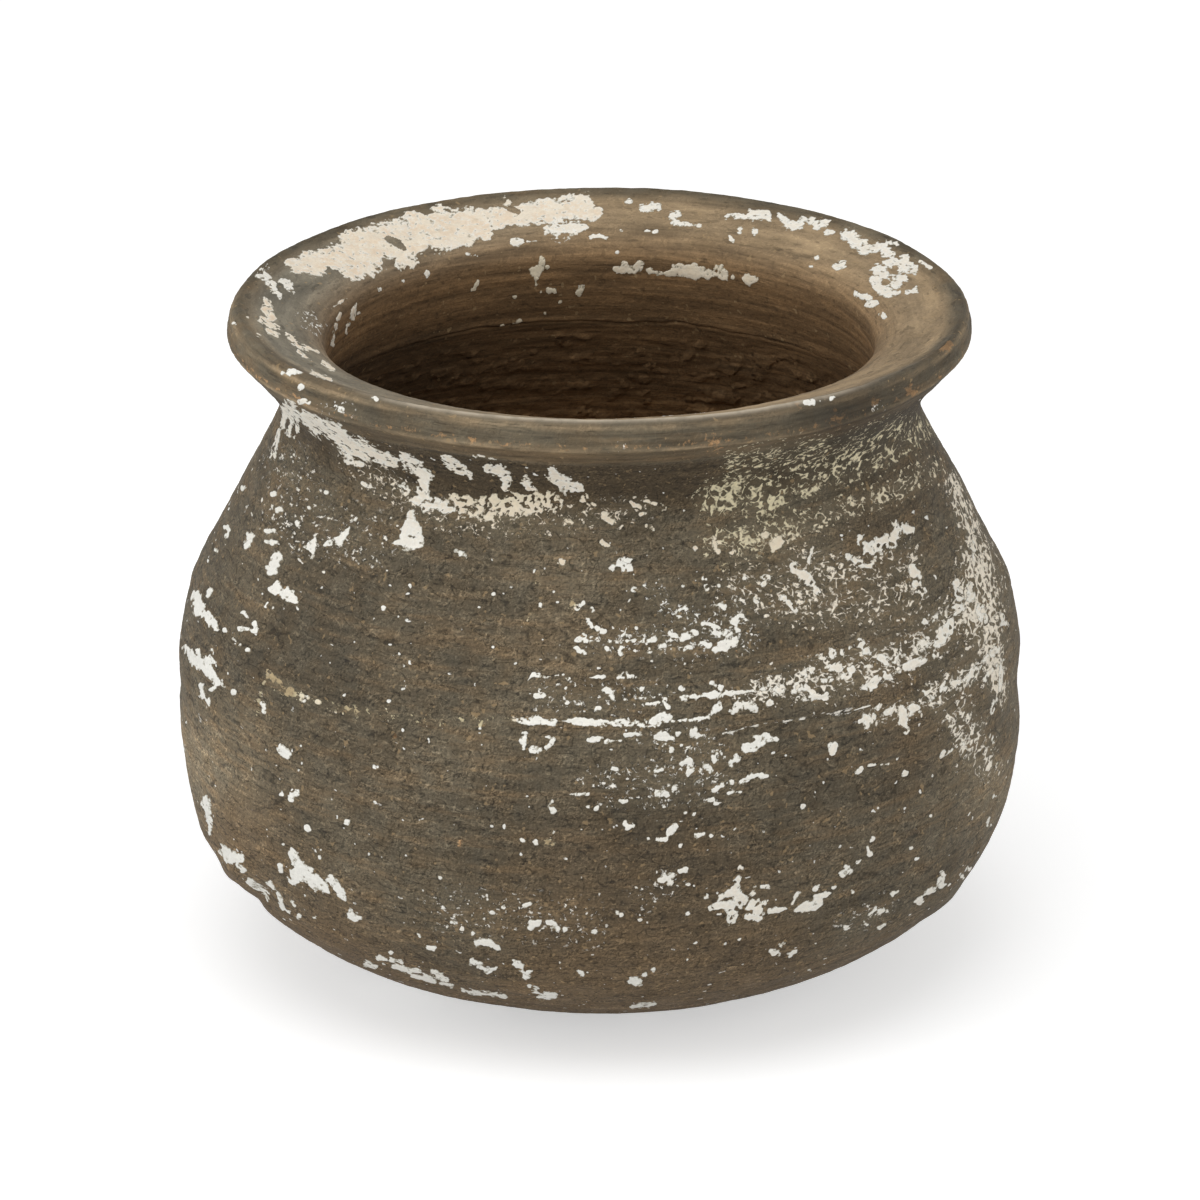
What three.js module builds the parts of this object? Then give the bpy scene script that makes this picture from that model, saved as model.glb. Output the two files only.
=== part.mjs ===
// A round-bellied terracotta water pot, as the clay sections that a potter forms and lutes together.
// Millimetres, +Z up, standing on the plane z = 0 with its axis on Z.

import * as THREE from 'three';

// Heights, each measured up from the one before it
const HEEL_RISE = 30;
const FLANK_RISE = 30;
const GIRTH_RISE = 40;
const SEAM_RISE = 37;
const KNEE_RISE = 13;
const SHOULDER_RISE = 45.5;
const WAIST_RISE = 10.5;
const HOLLOW_RISE = 21;
const BEVEL_RISE = 4;
const BROW_RISE = 6;
const CREST_RISE = 4.5;

// Radii of the outside, with the lesser ones set in from the girth or flared out from the neck
const BASE_RADIUS = 48;
const GIRTH_RADIUS = 150;
const HEEL_INSET = 23;
const FLANK_INSET = 4;
const SEAM_INSET = 4.4;
const KNEE_INSET = 10.4;
const NECK_RADIUS = 113;
const NECK_FILLET = 3;
const HOLLOW_FLARE = 13;
const LIP_FLARE = 18;
const BROW_FLARE = 17.3;
const CREST_FLARE = 14;

// Slopes of the outside in degrees: 0 runs outwards, 90 straight up and 180 straight in
const BASE_SLOPE = 8;
const HEEL_SLOPE = 41.5;
const FLANK_SLOPE = 75;
const GIRTH_SLOPE = 90;
const SEAM_SLOPE = 107;
const WAIST_SLOPE = 88;
const HOLLOW_SLOPE = 50;
const BEVEL_SLOPE = 40;
const LIP_SLOPE = 86;
const BROW_SLOPE = 104;
const CREST_SLOPE = 180;

// Thickness of the wall, and the mouth's inner shape
const BASE_WALL = 12;
const BOWL_WALL = 10;
const SHOULDER_WALL = 9.5;
const NECK_WALL = 16.5;
const THROAT_DROP = 16.5;
const CREST_WIDTH = 3;
const CREST_DROP = 1.3;
const FLARE_SLOPE = 23;

// Luted joints: the scarf's rise across the wall, and the layer of slip that bonds two pieces
const SLIP = 0.3;
const BELLY_SCARF = 8;
const NECK_SEAM_DROP = 6.7;
const NECK_SCARF = 1;
const LIP_SEAM_DROP = 6;
const LIP_SCARF = 11;

// Clay strip pressed into the outside of the belly seam, and the coils smeared over the inner seams
const STRIP_HEIGHT = 7;
const STRIP_DEPTH = 3;
const STRIP_PROUD = 0.8;
const BELLY_COIL_HEIGHT = 12;
const BELLY_COIL_PROUD = 3.5;
const NECK_COIL_HEIGHT = 8;
const NECK_COIL_PROUD = 2.5;

// Fineness of the facets
const TURN_FACETS = 64;
const CURVE_STEPS = 4;
const BEAD_STEPS = 5;
const HANDLE_SHARE = 0.36;

// Dry, unglazed clay
const CLAY_ROUGHNESS = 0.9;

// Heights of the profile's stations above the floor
const HEEL_Z = HEEL_RISE;
const FLANK_Z = HEEL_Z + FLANK_RISE;
const GIRTH_Z = FLANK_Z + GIRTH_RISE;
const SEAM_Z = GIRTH_Z + SEAM_RISE;
const KNEE_Z = SEAM_Z + KNEE_RISE;
const SHOULDER_Z = KNEE_Z + SHOULDER_RISE;
const WAIST_Z = SHOULDER_Z + WAIST_RISE;
const HOLLOW_Z = WAIST_Z + HOLLOW_RISE;
const LIP_Z = HOLLOW_Z + BEVEL_RISE;
const BROW_Z = LIP_Z + BROW_RISE;
const CREST_Z = BROW_Z + CREST_RISE;

// A place on a wall's profile, with the way that the profile runs there
function station(radius, height, slope) {
  const angle = THREE.MathUtils.degToRad(slope);
  const way = new THREE.Vector2(Math.cos(angle), Math.sin(angle));
  return { at: new THREE.Vector2(radius, height), way, slope };
}

// The station on the inner face of a wall, square behind the one on its outer face
function behind(outer, wall) {
  const radius = outer.at.x - wall * outer.way.y;
  const height = outer.at.y + wall * outer.way.x;
  return station(radius, height, outer.slope);
}

// A smooth curve from one station to the next
function stretch(from, to) {
  const reach = from.at.distanceTo(to.at) * HANDLE_SHARE;
  const leave = from.at.clone().addScaledVector(from.way, reach);
  const arrive = to.at.clone().addScaledVector(to.way, -reach);
  return new THREE.CubicBezierCurve(from.at, leave, arrive, to.at).getPoints(CURVE_STEPS);
}

// A straight run from one station to the next
function straight(from, to) {
  return [from.at, to.at];
}

// Runs joined end to end, with each shared end kept once
function chain(runs) {
  return runs.flatMap((run, index) => (index === 0 ? run : run.slice(1)));
}

// The point on a profile at one height
function pointAt(profile, height) {
  const next = Math.max(1, profile.findIndex((point) => point.y >= height));
  const low = profile[next - 1];
  const high = profile[next];
  return low.clone().lerp(high, (height - low.y) / (high.y - low.y));
}

// The stretch of a profile between two heights, with its ends cut square to them
function between(profile, low, high) {
  const inside = profile.filter((point) => point.y > low && point.y < high);
  return [pointAt(profile, low), ...inside, pointAt(profile, high)];
}

// Outside of the pot, from the edge of the flat base up to the crest of the lip
const shoulderRadius = NECK_RADIUS + NECK_FILLET;
const kneeRadius = GIRTH_RADIUS - KNEE_INSET;
const shoulderSlope = THREE.MathUtils.radToDeg(Math.atan2(SHOULDER_RISE, shoulderRadius - kneeRadius));
const base = station(BASE_RADIUS, 0, BASE_SLOPE);
const heel = station(GIRTH_RADIUS - HEEL_INSET, HEEL_Z, HEEL_SLOPE);
const flank = station(GIRTH_RADIUS - FLANK_INSET, FLANK_Z, FLANK_SLOPE);
const girth = station(GIRTH_RADIUS, GIRTH_Z, GIRTH_SLOPE);
const seam = station(GIRTH_RADIUS - SEAM_INSET, SEAM_Z, SEAM_SLOPE);
const knee = station(kneeRadius, KNEE_Z, shoulderSlope);
const shoulder = station(shoulderRadius, SHOULDER_Z, shoulderSlope);
const waist = station(NECK_RADIUS, WAIST_Z, WAIST_SLOPE);
const hollow = station(NECK_RADIUS + HOLLOW_FLARE, HOLLOW_Z, HOLLOW_SLOPE);
const lipEdge = station(NECK_RADIUS + LIP_FLARE, LIP_Z, BEVEL_SLOPE);
const lipFace = station(NECK_RADIUS + LIP_FLARE, LIP_Z, LIP_SLOPE);
const brow = station(NECK_RADIUS + BROW_FLARE, BROW_Z, BROW_SLOPE);
const crest = station(NECK_RADIUS + CREST_FLARE, CREST_Z, CREST_SLOPE);
const outside = chain([
  stretch(base, heel),
  stretch(heel, flank),
  stretch(flank, girth),
  stretch(girth, seam),
  stretch(seam, knee),
  straight(knee, shoulder),
  stretch(shoulder, waist),
  stretch(waist, hollow),
  straight(hollow, lipEdge),
  stretch(lipFace, brow),
  stretch(brow, crest),
]);

// Inside of the pot, from the middle of the floor up through the throat and over the flare to the crest
const floorMiddle = station(0, BASE_WALL, 0);
const floorEdge = station(BASE_RADIUS, BASE_WALL, 0);
const throat = station(NECK_RADIUS - NECK_WALL, CREST_Z - THROAT_DROP, GIRTH_SLOPE);
const flare = station(crest.at.x - CREST_WIDTH, CREST_Z - CREST_DROP, FLARE_SLOPE);
const innerKnee = behind(knee, SHOULDER_WALL);
const innerShoulder = behind(shoulder, SHOULDER_WALL);
const inside = chain([
  straight(floorMiddle, floorEdge),
  stretch(floorEdge, behind(heel, BOWL_WALL)),
  stretch(behind(heel, BOWL_WALL), behind(flank, BOWL_WALL)),
  stretch(behind(flank, BOWL_WALL), behind(girth, BOWL_WALL)),
  stretch(behind(girth, BOWL_WALL), behind(seam, BOWL_WALL)),
  stretch(behind(seam, BOWL_WALL), innerKnee),
  straight(innerKnee, innerShoulder),
  stretch(innerShoulder, throat),
  stretch(throat, flare),
  straight(flare, crest),
]);

// Where the sections meet: the height of each seam on the outside and on the inside of the wall
const bellySeam = { out: SEAM_Z, in: SEAM_Z + BELLY_SCARF };
const neckSeam = { out: WAIST_Z - NECK_SEAM_DROP, in: WAIST_Z - NECK_SEAM_DROP + NECK_SCARF };
const lipSeam = { out: LIP_Z - LIP_SEAM_DROP, in: LIP_Z - LIP_SEAM_DROP + LIP_SCARF };

// Bottom of the groove along the belly seam, at the edge of the bowl
const grooveFloor = pointAt(outside, bellySeam.out).sub(new THREE.Vector2(STRIP_DEPTH, 0));
const raised = (point, rise) => new THREE.Vector2(point.x, point.y + rise);

// Bowl beaten to shape, from the flat base up past the girth, with its edge cut to a scarf
function bowlOutline() {
  const outer = between(outside, 0, bellySeam.out - STRIP_HEIGHT / 2);
  const inner = inside.filter((point) => point.y < bellySeam.in);
  const edge = pointAt(inside, bellySeam.in);
  return [new THREE.Vector2(0, 0), ...outer, grooveFloor, edge, ...inner.reverse()];
}

// Sloping shoulder that sits on the bowl's edge and carries the neck
function shoulderOutline() {
  const outer = between(outside, bellySeam.out + STRIP_HEIGHT / 2, neckSeam.out - SLIP);
  const inner = between(inside, bellySeam.in + SLIP, neckSeam.in - SLIP);
  return [raised(grooveFloor, SLIP), ...outer, ...inner.reverse()];
}

// Neck with the flared mouth, up to the scarf under the lip
function collarOutline() {
  const outer = between(outside, neckSeam.out, lipSeam.out - SLIP);
  const inner = between(inside, neckSeam.in, lipSeam.in - SLIP);
  return [...outer, ...inner.reverse()];
}

// Lip folded over the mouth's edge, with a sharp lower edge and a rounded crest
function lipOutline() {
  const outer = between(outside, lipSeam.out + SLIP, CREST_Z);
  const inner = between(inside, lipSeam.in + SLIP, CREST_Z);
  return [...outer, ...inner.reverse().slice(1)];
}

// Strip that fills the groove along the belly seam and stands a little proud of the wall
function stripOutline() {
  const half = STRIP_HEIGHT / 2 - 2 * SLIP;
  const low = pointAt(outside, bellySeam.out - half);
  const high = pointAt(outside, bellySeam.out + half);
  const bulge = pointAt(outside, bellySeam.out).add(new THREE.Vector2(2 * STRIP_PROUD, 0));
  const root = grooveFloor.clone().add(new THREE.Vector2(2 * SLIP, SLIP / 2));
  return [root, ...new THREE.QuadraticBezierCurve(low, bulge, high).getPoints(BEAD_STEPS)];
}

// Coil smeared over a seam on the inside of the wall
function coilOutline(seamHeight, height, proud) {
  const off = new THREE.Vector2(SLIP, 0);
  const wall = between(inside, seamHeight - height / 2, seamHeight + height / 2);
  const back = wall.map((point) => point.clone().sub(off));
  const low = back[0];
  const high = back[back.length - 1];
  const bulge = pointAt(inside, seamHeight).sub(new THREE.Vector2(2 * proud, 0));
  const bead = new THREE.QuadraticBezierCurve(high, bulge, low).getPoints(BEAD_STEPS);
  return [...back, ...bead.slice(1, -1)];
}

// A named piece turned from its outline, which runs anticlockwise in radius and height
function turned(name, outline, color) {
  const onAxis = outline[0].x === 0;
  const loop = onAxis ? outline : [...outline, outline[0]];
  const geometry = new THREE.LatheGeometry(loop, TURN_FACETS);
  geometry.rotateX(Math.PI / 2);
  const material = new THREE.MeshStandardMaterial({ color, roughness: CLAY_ROUGHNESS, metalness: 0 });
  const mesh = new THREE.Mesh(geometry, material);
  mesh.name = name;
  return mesh;
}

const pot = new THREE.Group();
pot.name = 'water_pot';
pot.add(
  turned('lower_bowl', bowlOutline(), '#5f4e37'),
  turned('shoulder_wall', shoulderOutline(), '#5f5646'),
  turned('neck_collar', collarOutline(), '#6a5f4d'),
  turned('rim_lip', lipOutline(), '#736958'),
  turned('belly_seam_strip', stripOutline(), '#6b604c'),
  turned('belly_seam_coil', coilOutline(bellySeam.in, BELLY_COIL_HEIGHT, BELLY_COIL_PROUD), '#5a4128'),
  turned('neck_seam_coil', coilOutline(neckSeam.in, NECK_COIL_HEIGHT, NECK_COIL_PROUD), '#5a4128'),
);

export default pot;
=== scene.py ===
import math

import bpy
import numpy as np
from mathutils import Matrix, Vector


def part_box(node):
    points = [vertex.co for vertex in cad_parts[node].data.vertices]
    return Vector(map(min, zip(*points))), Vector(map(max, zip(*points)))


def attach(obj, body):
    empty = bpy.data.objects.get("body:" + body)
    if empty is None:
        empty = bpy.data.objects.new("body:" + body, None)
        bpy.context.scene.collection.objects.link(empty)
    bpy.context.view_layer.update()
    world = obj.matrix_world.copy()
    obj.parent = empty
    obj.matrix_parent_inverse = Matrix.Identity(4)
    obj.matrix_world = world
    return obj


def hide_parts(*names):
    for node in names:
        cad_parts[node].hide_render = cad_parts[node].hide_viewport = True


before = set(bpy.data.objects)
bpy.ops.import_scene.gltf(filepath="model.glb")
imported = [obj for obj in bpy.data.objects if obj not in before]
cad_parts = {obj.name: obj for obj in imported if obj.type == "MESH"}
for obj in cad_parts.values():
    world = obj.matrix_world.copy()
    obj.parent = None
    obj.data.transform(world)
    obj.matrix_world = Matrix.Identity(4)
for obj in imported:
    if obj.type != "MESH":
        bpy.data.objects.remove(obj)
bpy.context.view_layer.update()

# Lengths are in millimetres up to the moment a mesh is made
MM = 0.001


def reach(node):
    """Radius, lowest and highest point of a CAD node, in millimetres."""
    low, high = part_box(node)
    return high[0] / MM, low[2] / MM, high[2] / MM


# Main sizes, read from the frame
GIRTH_RADIUS = reach("lower_bowl")[0]
LIP_RADIUS, LIP_SEAM_Z, CREST_Z = reach("rim_lip")
STRIP_LOW_Z, STRIP_HIGH_Z = reach("belly_seam_strip")[1:]
BELLY_COIL_LOW_Z, BELLY_COIL_HIGH_Z = reach("belly_seam_coil")[1:]
NECK_COIL_LOW_Z, NECK_COIL_HIGH_Z = reach("neck_seam_coil")[1:]
NECK_SEAM_Z = reach("neck_collar")[1]
SEAM_Z = (STRIP_LOW_Z + STRIP_HIGH_Z) / 2

# Heights of the profile's other stations above the floor
HEEL_Z = 30
FLANK_Z = 60
GIRTH_Z = 100
KNEE_Z = 150
SHOULDER_Z = 195.5
WAIST_Z = 206
HOLLOW_Z = 227
LIP_Z = 232.3
BROW_Z = 237
LIP_INNER_Z = 236

# Radii of the outside
BASE_RADIUS = 48
HEEL_INSET = 23
FLANK_INSET = 4
SEAM_INSET = 4.4
KNEE_INSET = 10.4
LIP_FLARE = 18
NECK_RADIUS = LIP_RADIUS - LIP_FLARE
NECK_FILLET = 3
HOLLOW_FLARE = 13
BROW_FLARE = 17.3
CREST_FLARE = 14

# Slopes of the outside in degrees: 0 runs outwards, 90 straight up and 180 straight in
BASE_SLOPE = 8
HEEL_SLOPE = 41.5
FLANK_SLOPE = 75
GIRTH_SLOPE = 90
SEAM_SLOPE = 107
WAIST_SLOPE = 88
HOLLOW_SLOPE = 50
BEVEL_SLOPE = 40
LIP_SLOPE = 86
BROW_SLOPE = 104
CREST_SLOPE = 180
HANDLE_SHARE = 0.36

# Walls, mouth and seams
BASE_WALL = 12
BOWL_WALL = 10
SHOULDER_WALL = 9.5
NECK_WALL = 16.5
THROAT_DROP = 16.5
CREST_WIDTH = 3
CREST_DROP = 1.3
FLARE_SLOPE = 23
SLIP = 0.3
BELLY_SCARF = 8
NECK_SCARF = 1
STRIP_DEPTH = 3
STRIP_PROUD = 0.35
CREASE_DEPTH = 0.3
CREASE_HALF = 0.8
LEDGE_DEPTH = 0.6
LEDGE_HALF = 0.6
NECK_LEDGE_Z = (NECK_COIL_LOW_Z + NECK_COIL_HIGH_Z) / 2 - 1
BELLY_COIL_PROUD = 2.8
NECK_COIL_PROUD = 0.7

# The mouth isn't quite level: how far its far and near sides stand above its left and right ends
FAR_RISE = 2.1
NEAR_RISE = 1.0

# The photograph's camera, which also places what the photograph shows on the wall
IMAGE = 1200
MIDDLE = IMAGE / 2
FOCAL = 8416
ELEVATION = math.radians(20.5)
DISTANCE = 3000
LOOK_AT_Z = 130
SENSOR = 36

# Even, repeatable noise
LATTICE = 64
LATTICE_SEED = 41
SHIFT_STEP = 17.31
TURN = np.array([[0.36, 0.48, -0.80], [-0.80, 0.60, 0.00], [0.48, 0.64, 0.60]])
lattice = np.random.default_rng(LATTICE_SEED).random((LATTICE, LATTICE, LATTICE)).astype(np.float32)


def noise(points, size, shift=0):
    """Smooth values from 0 to 1 that vary over about that size."""
    at = (points / size) @ TURN + SHIFT_STEP * (shift + 1)
    cell = np.floor(at).astype(np.int64)
    part = (at - cell).astype(np.float32)
    part = part * part * (3 - 2 * part)
    low = cell % LATTICE
    high = (cell + 1) % LATTICE
    total = 0
    for i in (0, 1):
        ix = high[..., 0] if i else low[..., 0]
        wx = part[..., 0] if i else 1 - part[..., 0]
        for j in (0, 1):
            iy = high[..., 1] if j else low[..., 1]
            wxy = wx * (part[..., 1] if j else 1 - part[..., 1])
            total = total + lattice[ix, iy, low[..., 2]] * wxy * (1 - part[..., 2])
            total = total + lattice[ix, iy, high[..., 2]] * wxy * part[..., 2]
    return total


def layered(points, size, octaves, shift=0):
    """Noise of several sizes added up, each half as large as the one before it, from 0 to 1."""
    total = 0
    weight = 0
    for octave in range(octaves):
        share = 0.5 ** octave
        total = total + share * noise(points, size * share, shift + 3 * octave)
        weight += share
    return total / weight


def lengthways(points, ratio):
    """Points squeezed in plan, so that noise on them runs round the pot as the wheel's marks do."""
    return points * np.array([1 / ratio, 1 / ratio, 1.0])


def ramp(value, low, high):
    """0 up to low, 1 from high on, and smooth between them."""
    t = np.clip((value - low) / (high - low), 0, 1)
    return t * t * (3 - 2 * t)


def evened(values):
    """The same field with its values spread evenly from 0 to 1."""
    marks = np.quantile(values[::9], np.linspace(0, 1, 201))
    return np.interp(values, marks, np.linspace(0, 1, 201)).astype(np.float32)


# Profile of the wall
def station(radius, height, slope):
    angle = math.radians(slope)
    return np.array([radius, height]), np.array([math.cos(angle), math.sin(angle)]), slope


def behind(outer, wall):
    (radius, height), (way_out, way_up), slope = outer
    return station(radius - wall * way_up, height + wall * way_out, slope)


def stretch(start, end, steps=120):
    (p0, w0, _), (p3, w3, _) = start, end
    handle = np.linalg.norm(p3 - p0) * HANDLE_SHARE
    p1 = p0 + w0 * handle
    p2 = p3 - w3 * handle
    t = np.linspace(0, 1, steps)[:, None]
    return p0 * (1 - t) ** 3 + 3 * p1 * t * (1 - t) ** 2 + 3 * p2 * t * t * (1 - t) + p3 * t ** 3


def straight(start, end, steps=60):
    t = np.linspace(0, 1, steps)[:, None]
    return start[0] * (1 - t) + end[0] * t


shoulder_radius = NECK_RADIUS + NECK_FILLET
knee_radius = GIRTH_RADIUS - KNEE_INSET
shoulder_slope = math.degrees(math.atan2(SHOULDER_Z - KNEE_Z, shoulder_radius - knee_radius))
foot_middle = station(0, 0, 0)
foot = station(BASE_RADIUS, 0, BASE_SLOPE)
heel = station(GIRTH_RADIUS - HEEL_INSET, HEEL_Z, HEEL_SLOPE)
flank = station(GIRTH_RADIUS - FLANK_INSET, FLANK_Z, FLANK_SLOPE)
girth = station(GIRTH_RADIUS, GIRTH_Z, GIRTH_SLOPE)
seam = station(GIRTH_RADIUS - SEAM_INSET, SEAM_Z, SEAM_SLOPE)
knee = station(knee_radius, KNEE_Z, shoulder_slope)
shoulder = station(shoulder_radius, SHOULDER_Z, shoulder_slope)
waist = station(NECK_RADIUS, WAIST_Z, WAIST_SLOPE)
hollow = station(NECK_RADIUS + HOLLOW_FLARE, HOLLOW_Z, HOLLOW_SLOPE)
lip_edge = station(LIP_RADIUS, LIP_Z, BEVEL_SLOPE)
lip_face = station(LIP_RADIUS, LIP_Z, LIP_SLOPE)
brow = station(NECK_RADIUS + BROW_FLARE, BROW_Z, BROW_SLOPE)
crest = station(NECK_RADIUS + CREST_FLARE, CREST_Z, CREST_SLOPE)
floor_middle = station(0, BASE_WALL, 0)
floor_edge = station(BASE_RADIUS, BASE_WALL, 0)
throat = station(NECK_RADIUS - NECK_WALL, CREST_Z - THROAT_DROP, GIRTH_SLOPE)
flare = station(NECK_RADIUS + CREST_FLARE - CREST_WIDTH, CREST_Z - CREST_DROP, FLARE_SLOPE)
inner_heel = behind(heel, BOWL_WALL)
inner_flank = behind(flank, BOWL_WALL)
inner_girth = behind(girth, BOWL_WALL)
inner_seam = behind(seam, BOWL_WALL)
inner_knee = behind(knee, SHOULDER_WALL)
inner_shoulder = behind(shoulder, SHOULDER_WALL)

outside_runs = [
    straight(foot_middle, foot),
    stretch(foot, heel),
    stretch(heel, flank),
    stretch(flank, girth),
    stretch(girth, seam),
    stretch(seam, knee),
    straight(knee, shoulder),
    stretch(shoulder, waist),
    stretch(waist, hollow),
    straight(hollow, lip_edge),
    stretch(lip_face, brow),
    stretch(brow, crest),
]
inside_runs = [
    straight(floor_middle, floor_edge),
    stretch(floor_edge, inner_heel),
    stretch(inner_heel, inner_flank),
    stretch(inner_flank, inner_girth),
    stretch(inner_girth, inner_seam),
    stretch(inner_seam, inner_knee),
    straight(inner_knee, inner_shoulder),
    stretch(inner_shoulder, throat),
    stretch(throat, flare),
    straight(flare, crest),
]

# One path along the whole skin, from the middle of the foot over the lip to the middle of the floor inside
STEP = 0.1
ROUNDING = 0.25
path = np.concatenate(outside_runs + [run[::-1] for run in reversed(inside_runs)])
gaps = np.linalg.norm(np.diff(path, axis=0), axis=1)
path = path[np.concatenate([[True], gaps > 1e-6])]
along = np.concatenate([[0], np.cumsum(np.linalg.norm(np.diff(path, axis=0), axis=1))])
length = np.arange(0, along[-1], STEP)
path = np.stack([np.interp(length, along, path[:, k]) for k in (0, 1)], axis=1)
margin = int(4 * ROUNDING / STEP)
bell = np.exp(-0.5 * (np.arange(-margin, margin + 1) * STEP / ROUNDING) ** 2)
bell /= bell.sum()
padded_radius = np.pad(path[:, 0], margin, mode="reflect", reflect_type="odd")
padded_height = np.pad(path[:, 1], margin, mode="reflect")
path = np.stack([np.convolve(padded, bell, "valid") for padded in (padded_radius, padded_height)], axis=1)
path[0] = (0, 0)
path[-1] = (0, BASE_WALL)
top = int(np.argmax(path[:, 1]))
CREST_S = length[top]
END_S = length[-1]
true_height = path[:, 1].copy()


def outer_s(height):
    """Place along the path at a height on the outside."""
    return float(np.interp(height, true_height[:top], length[:top]))


def inner_s(height):
    """Place along the path at a height on the inside."""
    return float(np.interp(height, true_height[:top:-1], length[:top:-1]))


# Coils smeared over the inner seams
def bead(z, low, high):
    across = np.clip(2 * (z - low) / (high - low) - 1, -1, 1)
    return (1 - across ** 2) ** 2


coils = BELLY_COIL_PROUD * bead(true_height, BELLY_COIL_LOW_Z, BELLY_COIL_HIGH_Z)
coils += NECK_COIL_PROUD * bead(true_height, NECK_COIL_LOW_Z, NECK_COIL_HIGH_Z)
path[top:, 0] -= coils[top:]
way = np.gradient(path, axis=0)
way /= np.linalg.norm(way, axis=1)[:, None]
square = np.stack([way[:, 1], -way[:, 0]], axis=1)


def skin(s, theta):
    """True points and outward normals of the skin, without the hand's irregularities."""
    r, z, nr, nz = (np.interp(s, length, column) for column in (*path.T, *square.T))
    cos, sin, one = np.cos(theta), np.sin(theta), np.ones_like(theta)
    rise = np.where(sin > 0, FAR_RISE, NEAR_RISE) * sin ** 2
    height = np.outer(z, one) + np.outer(ramp(z, LIP_Z, CREST_Z), rise)
    points = np.stack([np.outer(r, cos), np.outer(r, sin), height], axis=-1)
    normals = np.stack([np.outer(nr, cos), np.outer(nr, sin), np.outer(nz, one)], axis=-1)
    return points, normals


def pixels(points):
    """Where points show in the photograph."""
    rise = points[..., 2] - LOOK_AT_Z
    up = points[..., 1] * math.sin(ELEVATION) + rise * math.cos(ELEVATION)
    towards = rise * math.sin(ELEVATION) - points[..., 1] * math.cos(ELEVATION)
    scale = FOCAL / (DISTANCE - towards)
    return MIDDLE + points[..., 0] * scale, MIDDLE - up * scale


camera_place = np.array([0, -DISTANCE * math.cos(ELEVATION), LOOK_AT_Z + DISTANCE * math.sin(ELEVATION)])

# How wide patterns are round the pot, from its front to its back: about as the photograph shows them
NARROWEST = 0.55
WIDER_BEHIND = 0.4
BEHIND_FROM, BEHIND_TO = 1.7, 2.3
front_to_back = np.linspace(0, math.pi, 181)
pattern_width = np.maximum(np.cos(front_to_back), NARROWEST)
pattern_width = pattern_width + WIDER_BEHIND * ramp(front_to_back, BEHIND_FROM, BEHIND_TO)
mean_width = (pattern_width[1:] + pattern_width[:-1]) / 2
half_round = np.concatenate([[0], np.cumsum(mean_width * np.diff(front_to_back))])


def from_front(theta):
    """Angle from the side that the photograph shows, from -pi to pi."""
    return (theta + 1.5 * math.pi) % (2 * math.pi) - math.pi


def flattened(s, theta):
    """Places for patterns, unbroken all round the pot."""
    angle = from_front(theta)
    round_about = np.interp(np.abs(angle), front_to_back, half_round) / half_round[-1] * math.pi
    round_about = np.sign(angle) * round_about
    radius = np.interp(s, length, path[:, 0]) * half_round[-1] / math.pi
    across, deep = radius * np.sin(round_about), -radius * np.cos(round_about)
    return np.stack([across, deep, s + 0 * round_about], axis=-1)


def facing(points, normals):
    """How squarely the skin faces the photograph's camera, from -1 to 1."""
    sight = camera_place - points
    return np.sum(sight * normals, axis=-1) / np.linalg.norm(sight, axis=-1)


# Irregularities of the hand-made wall, in millimetres: height, half width and rise of each ring
RIDGES = ((115, 5, 0.3), (102, 4, -0.35), (86, 6, 0.3))

# Damage that the photograph shows: place and size in pixels, depth in millimetres and bareness of the clay
DAMAGE = {
    "chip under the lip on the right": (913, 391, 9, 0.6, 0.6),
    "chip on the lip at the far right": (947, 344, 9, 0.5, 0.8),
    "small chip on the lip on the right": (875, 402, 6, 0.3, 0.6),
    "scuff on the lip's lower edge": (836, 419, 13, 0.2, 0.45),
    "scuff on the lip's lower edge, nearer": (715, 444, 16, 0.2, 0.40),
    "scuff on the crest on the right": (800, 400, 12, 0.1, 0.4),
    "swelling at the lower left": (238, 866, 14, -2.4, 0.0),
    "hollow at the lower left": (262, 895, 11, 2.0, 0.2),
    "swelling on the left": (203, 832, 30, -1.1, 0.0),
    "swelling at the lower right": (945, 898, 24, -1.5, 0.0),
    "swelling of the right shoulder": (956, 470, 40, -0.9, 0.0),
    "flat on the right": (1012, 672, 28, 1.0, 0.0),
    "pecked spot on the left": (395, 736, 4, 0.2, 0.6),
    "pecked spot at the lower left": (460, 843, 5, 0.1, 0.5),
    "pecked spot on the right": (738, 652, 6, 0.2, 0.5),
}

# The clay's tone as the photograph shows it, with painted light and shade in it: the pale left and right
# edges are painted sheen, and the darker right part of the lip is painted shade. Place and size in pixels,
# how much paler and how much warmer
TONE_AND_LIGHT_SPOTS = {
    "left end of the lip": (290, 385, 62, 0.15, -0.2),
    "front of the lip": (545, 432, 75, 0.10, 0.1),
    "shade on the right part of the lip": (850, 408, 85, -0.60, 0.3),
    "sheen on the left edge": (205, 755, 55, 1.15, 0.0),
    "lower left": (235, 835, 58, 0.35, 0.7),
    "foot on the left": (330, 930, 70, 0.05, 0.8),
    "foot": (600, 985, 150, 0.10, 0.8),
    "sheen on the right edge": (995, 790, 40, 0.60, 0.1),
    "lower right": (860, 810, 90, -0.18, -0.1),
    "belly on the left": (320, 690, 90, -0.26, 0.0),
    "lower middle": (640, 850, 110, -0.24, 0.0),
    "shoulder on the right, low": (860, 590, 80, -0.05, 0.4),
    "right shoulder": (850, 470, 90, 0.05, 0.7),
    "belly on the right": (800, 670, 60, 0.0, 0.5),
    "middle of the shoulder": (600, 580, 90, 0.12, 0.0),
    "between the bands": (880, 695, 40, 0.1, 0.6),
}


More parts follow.
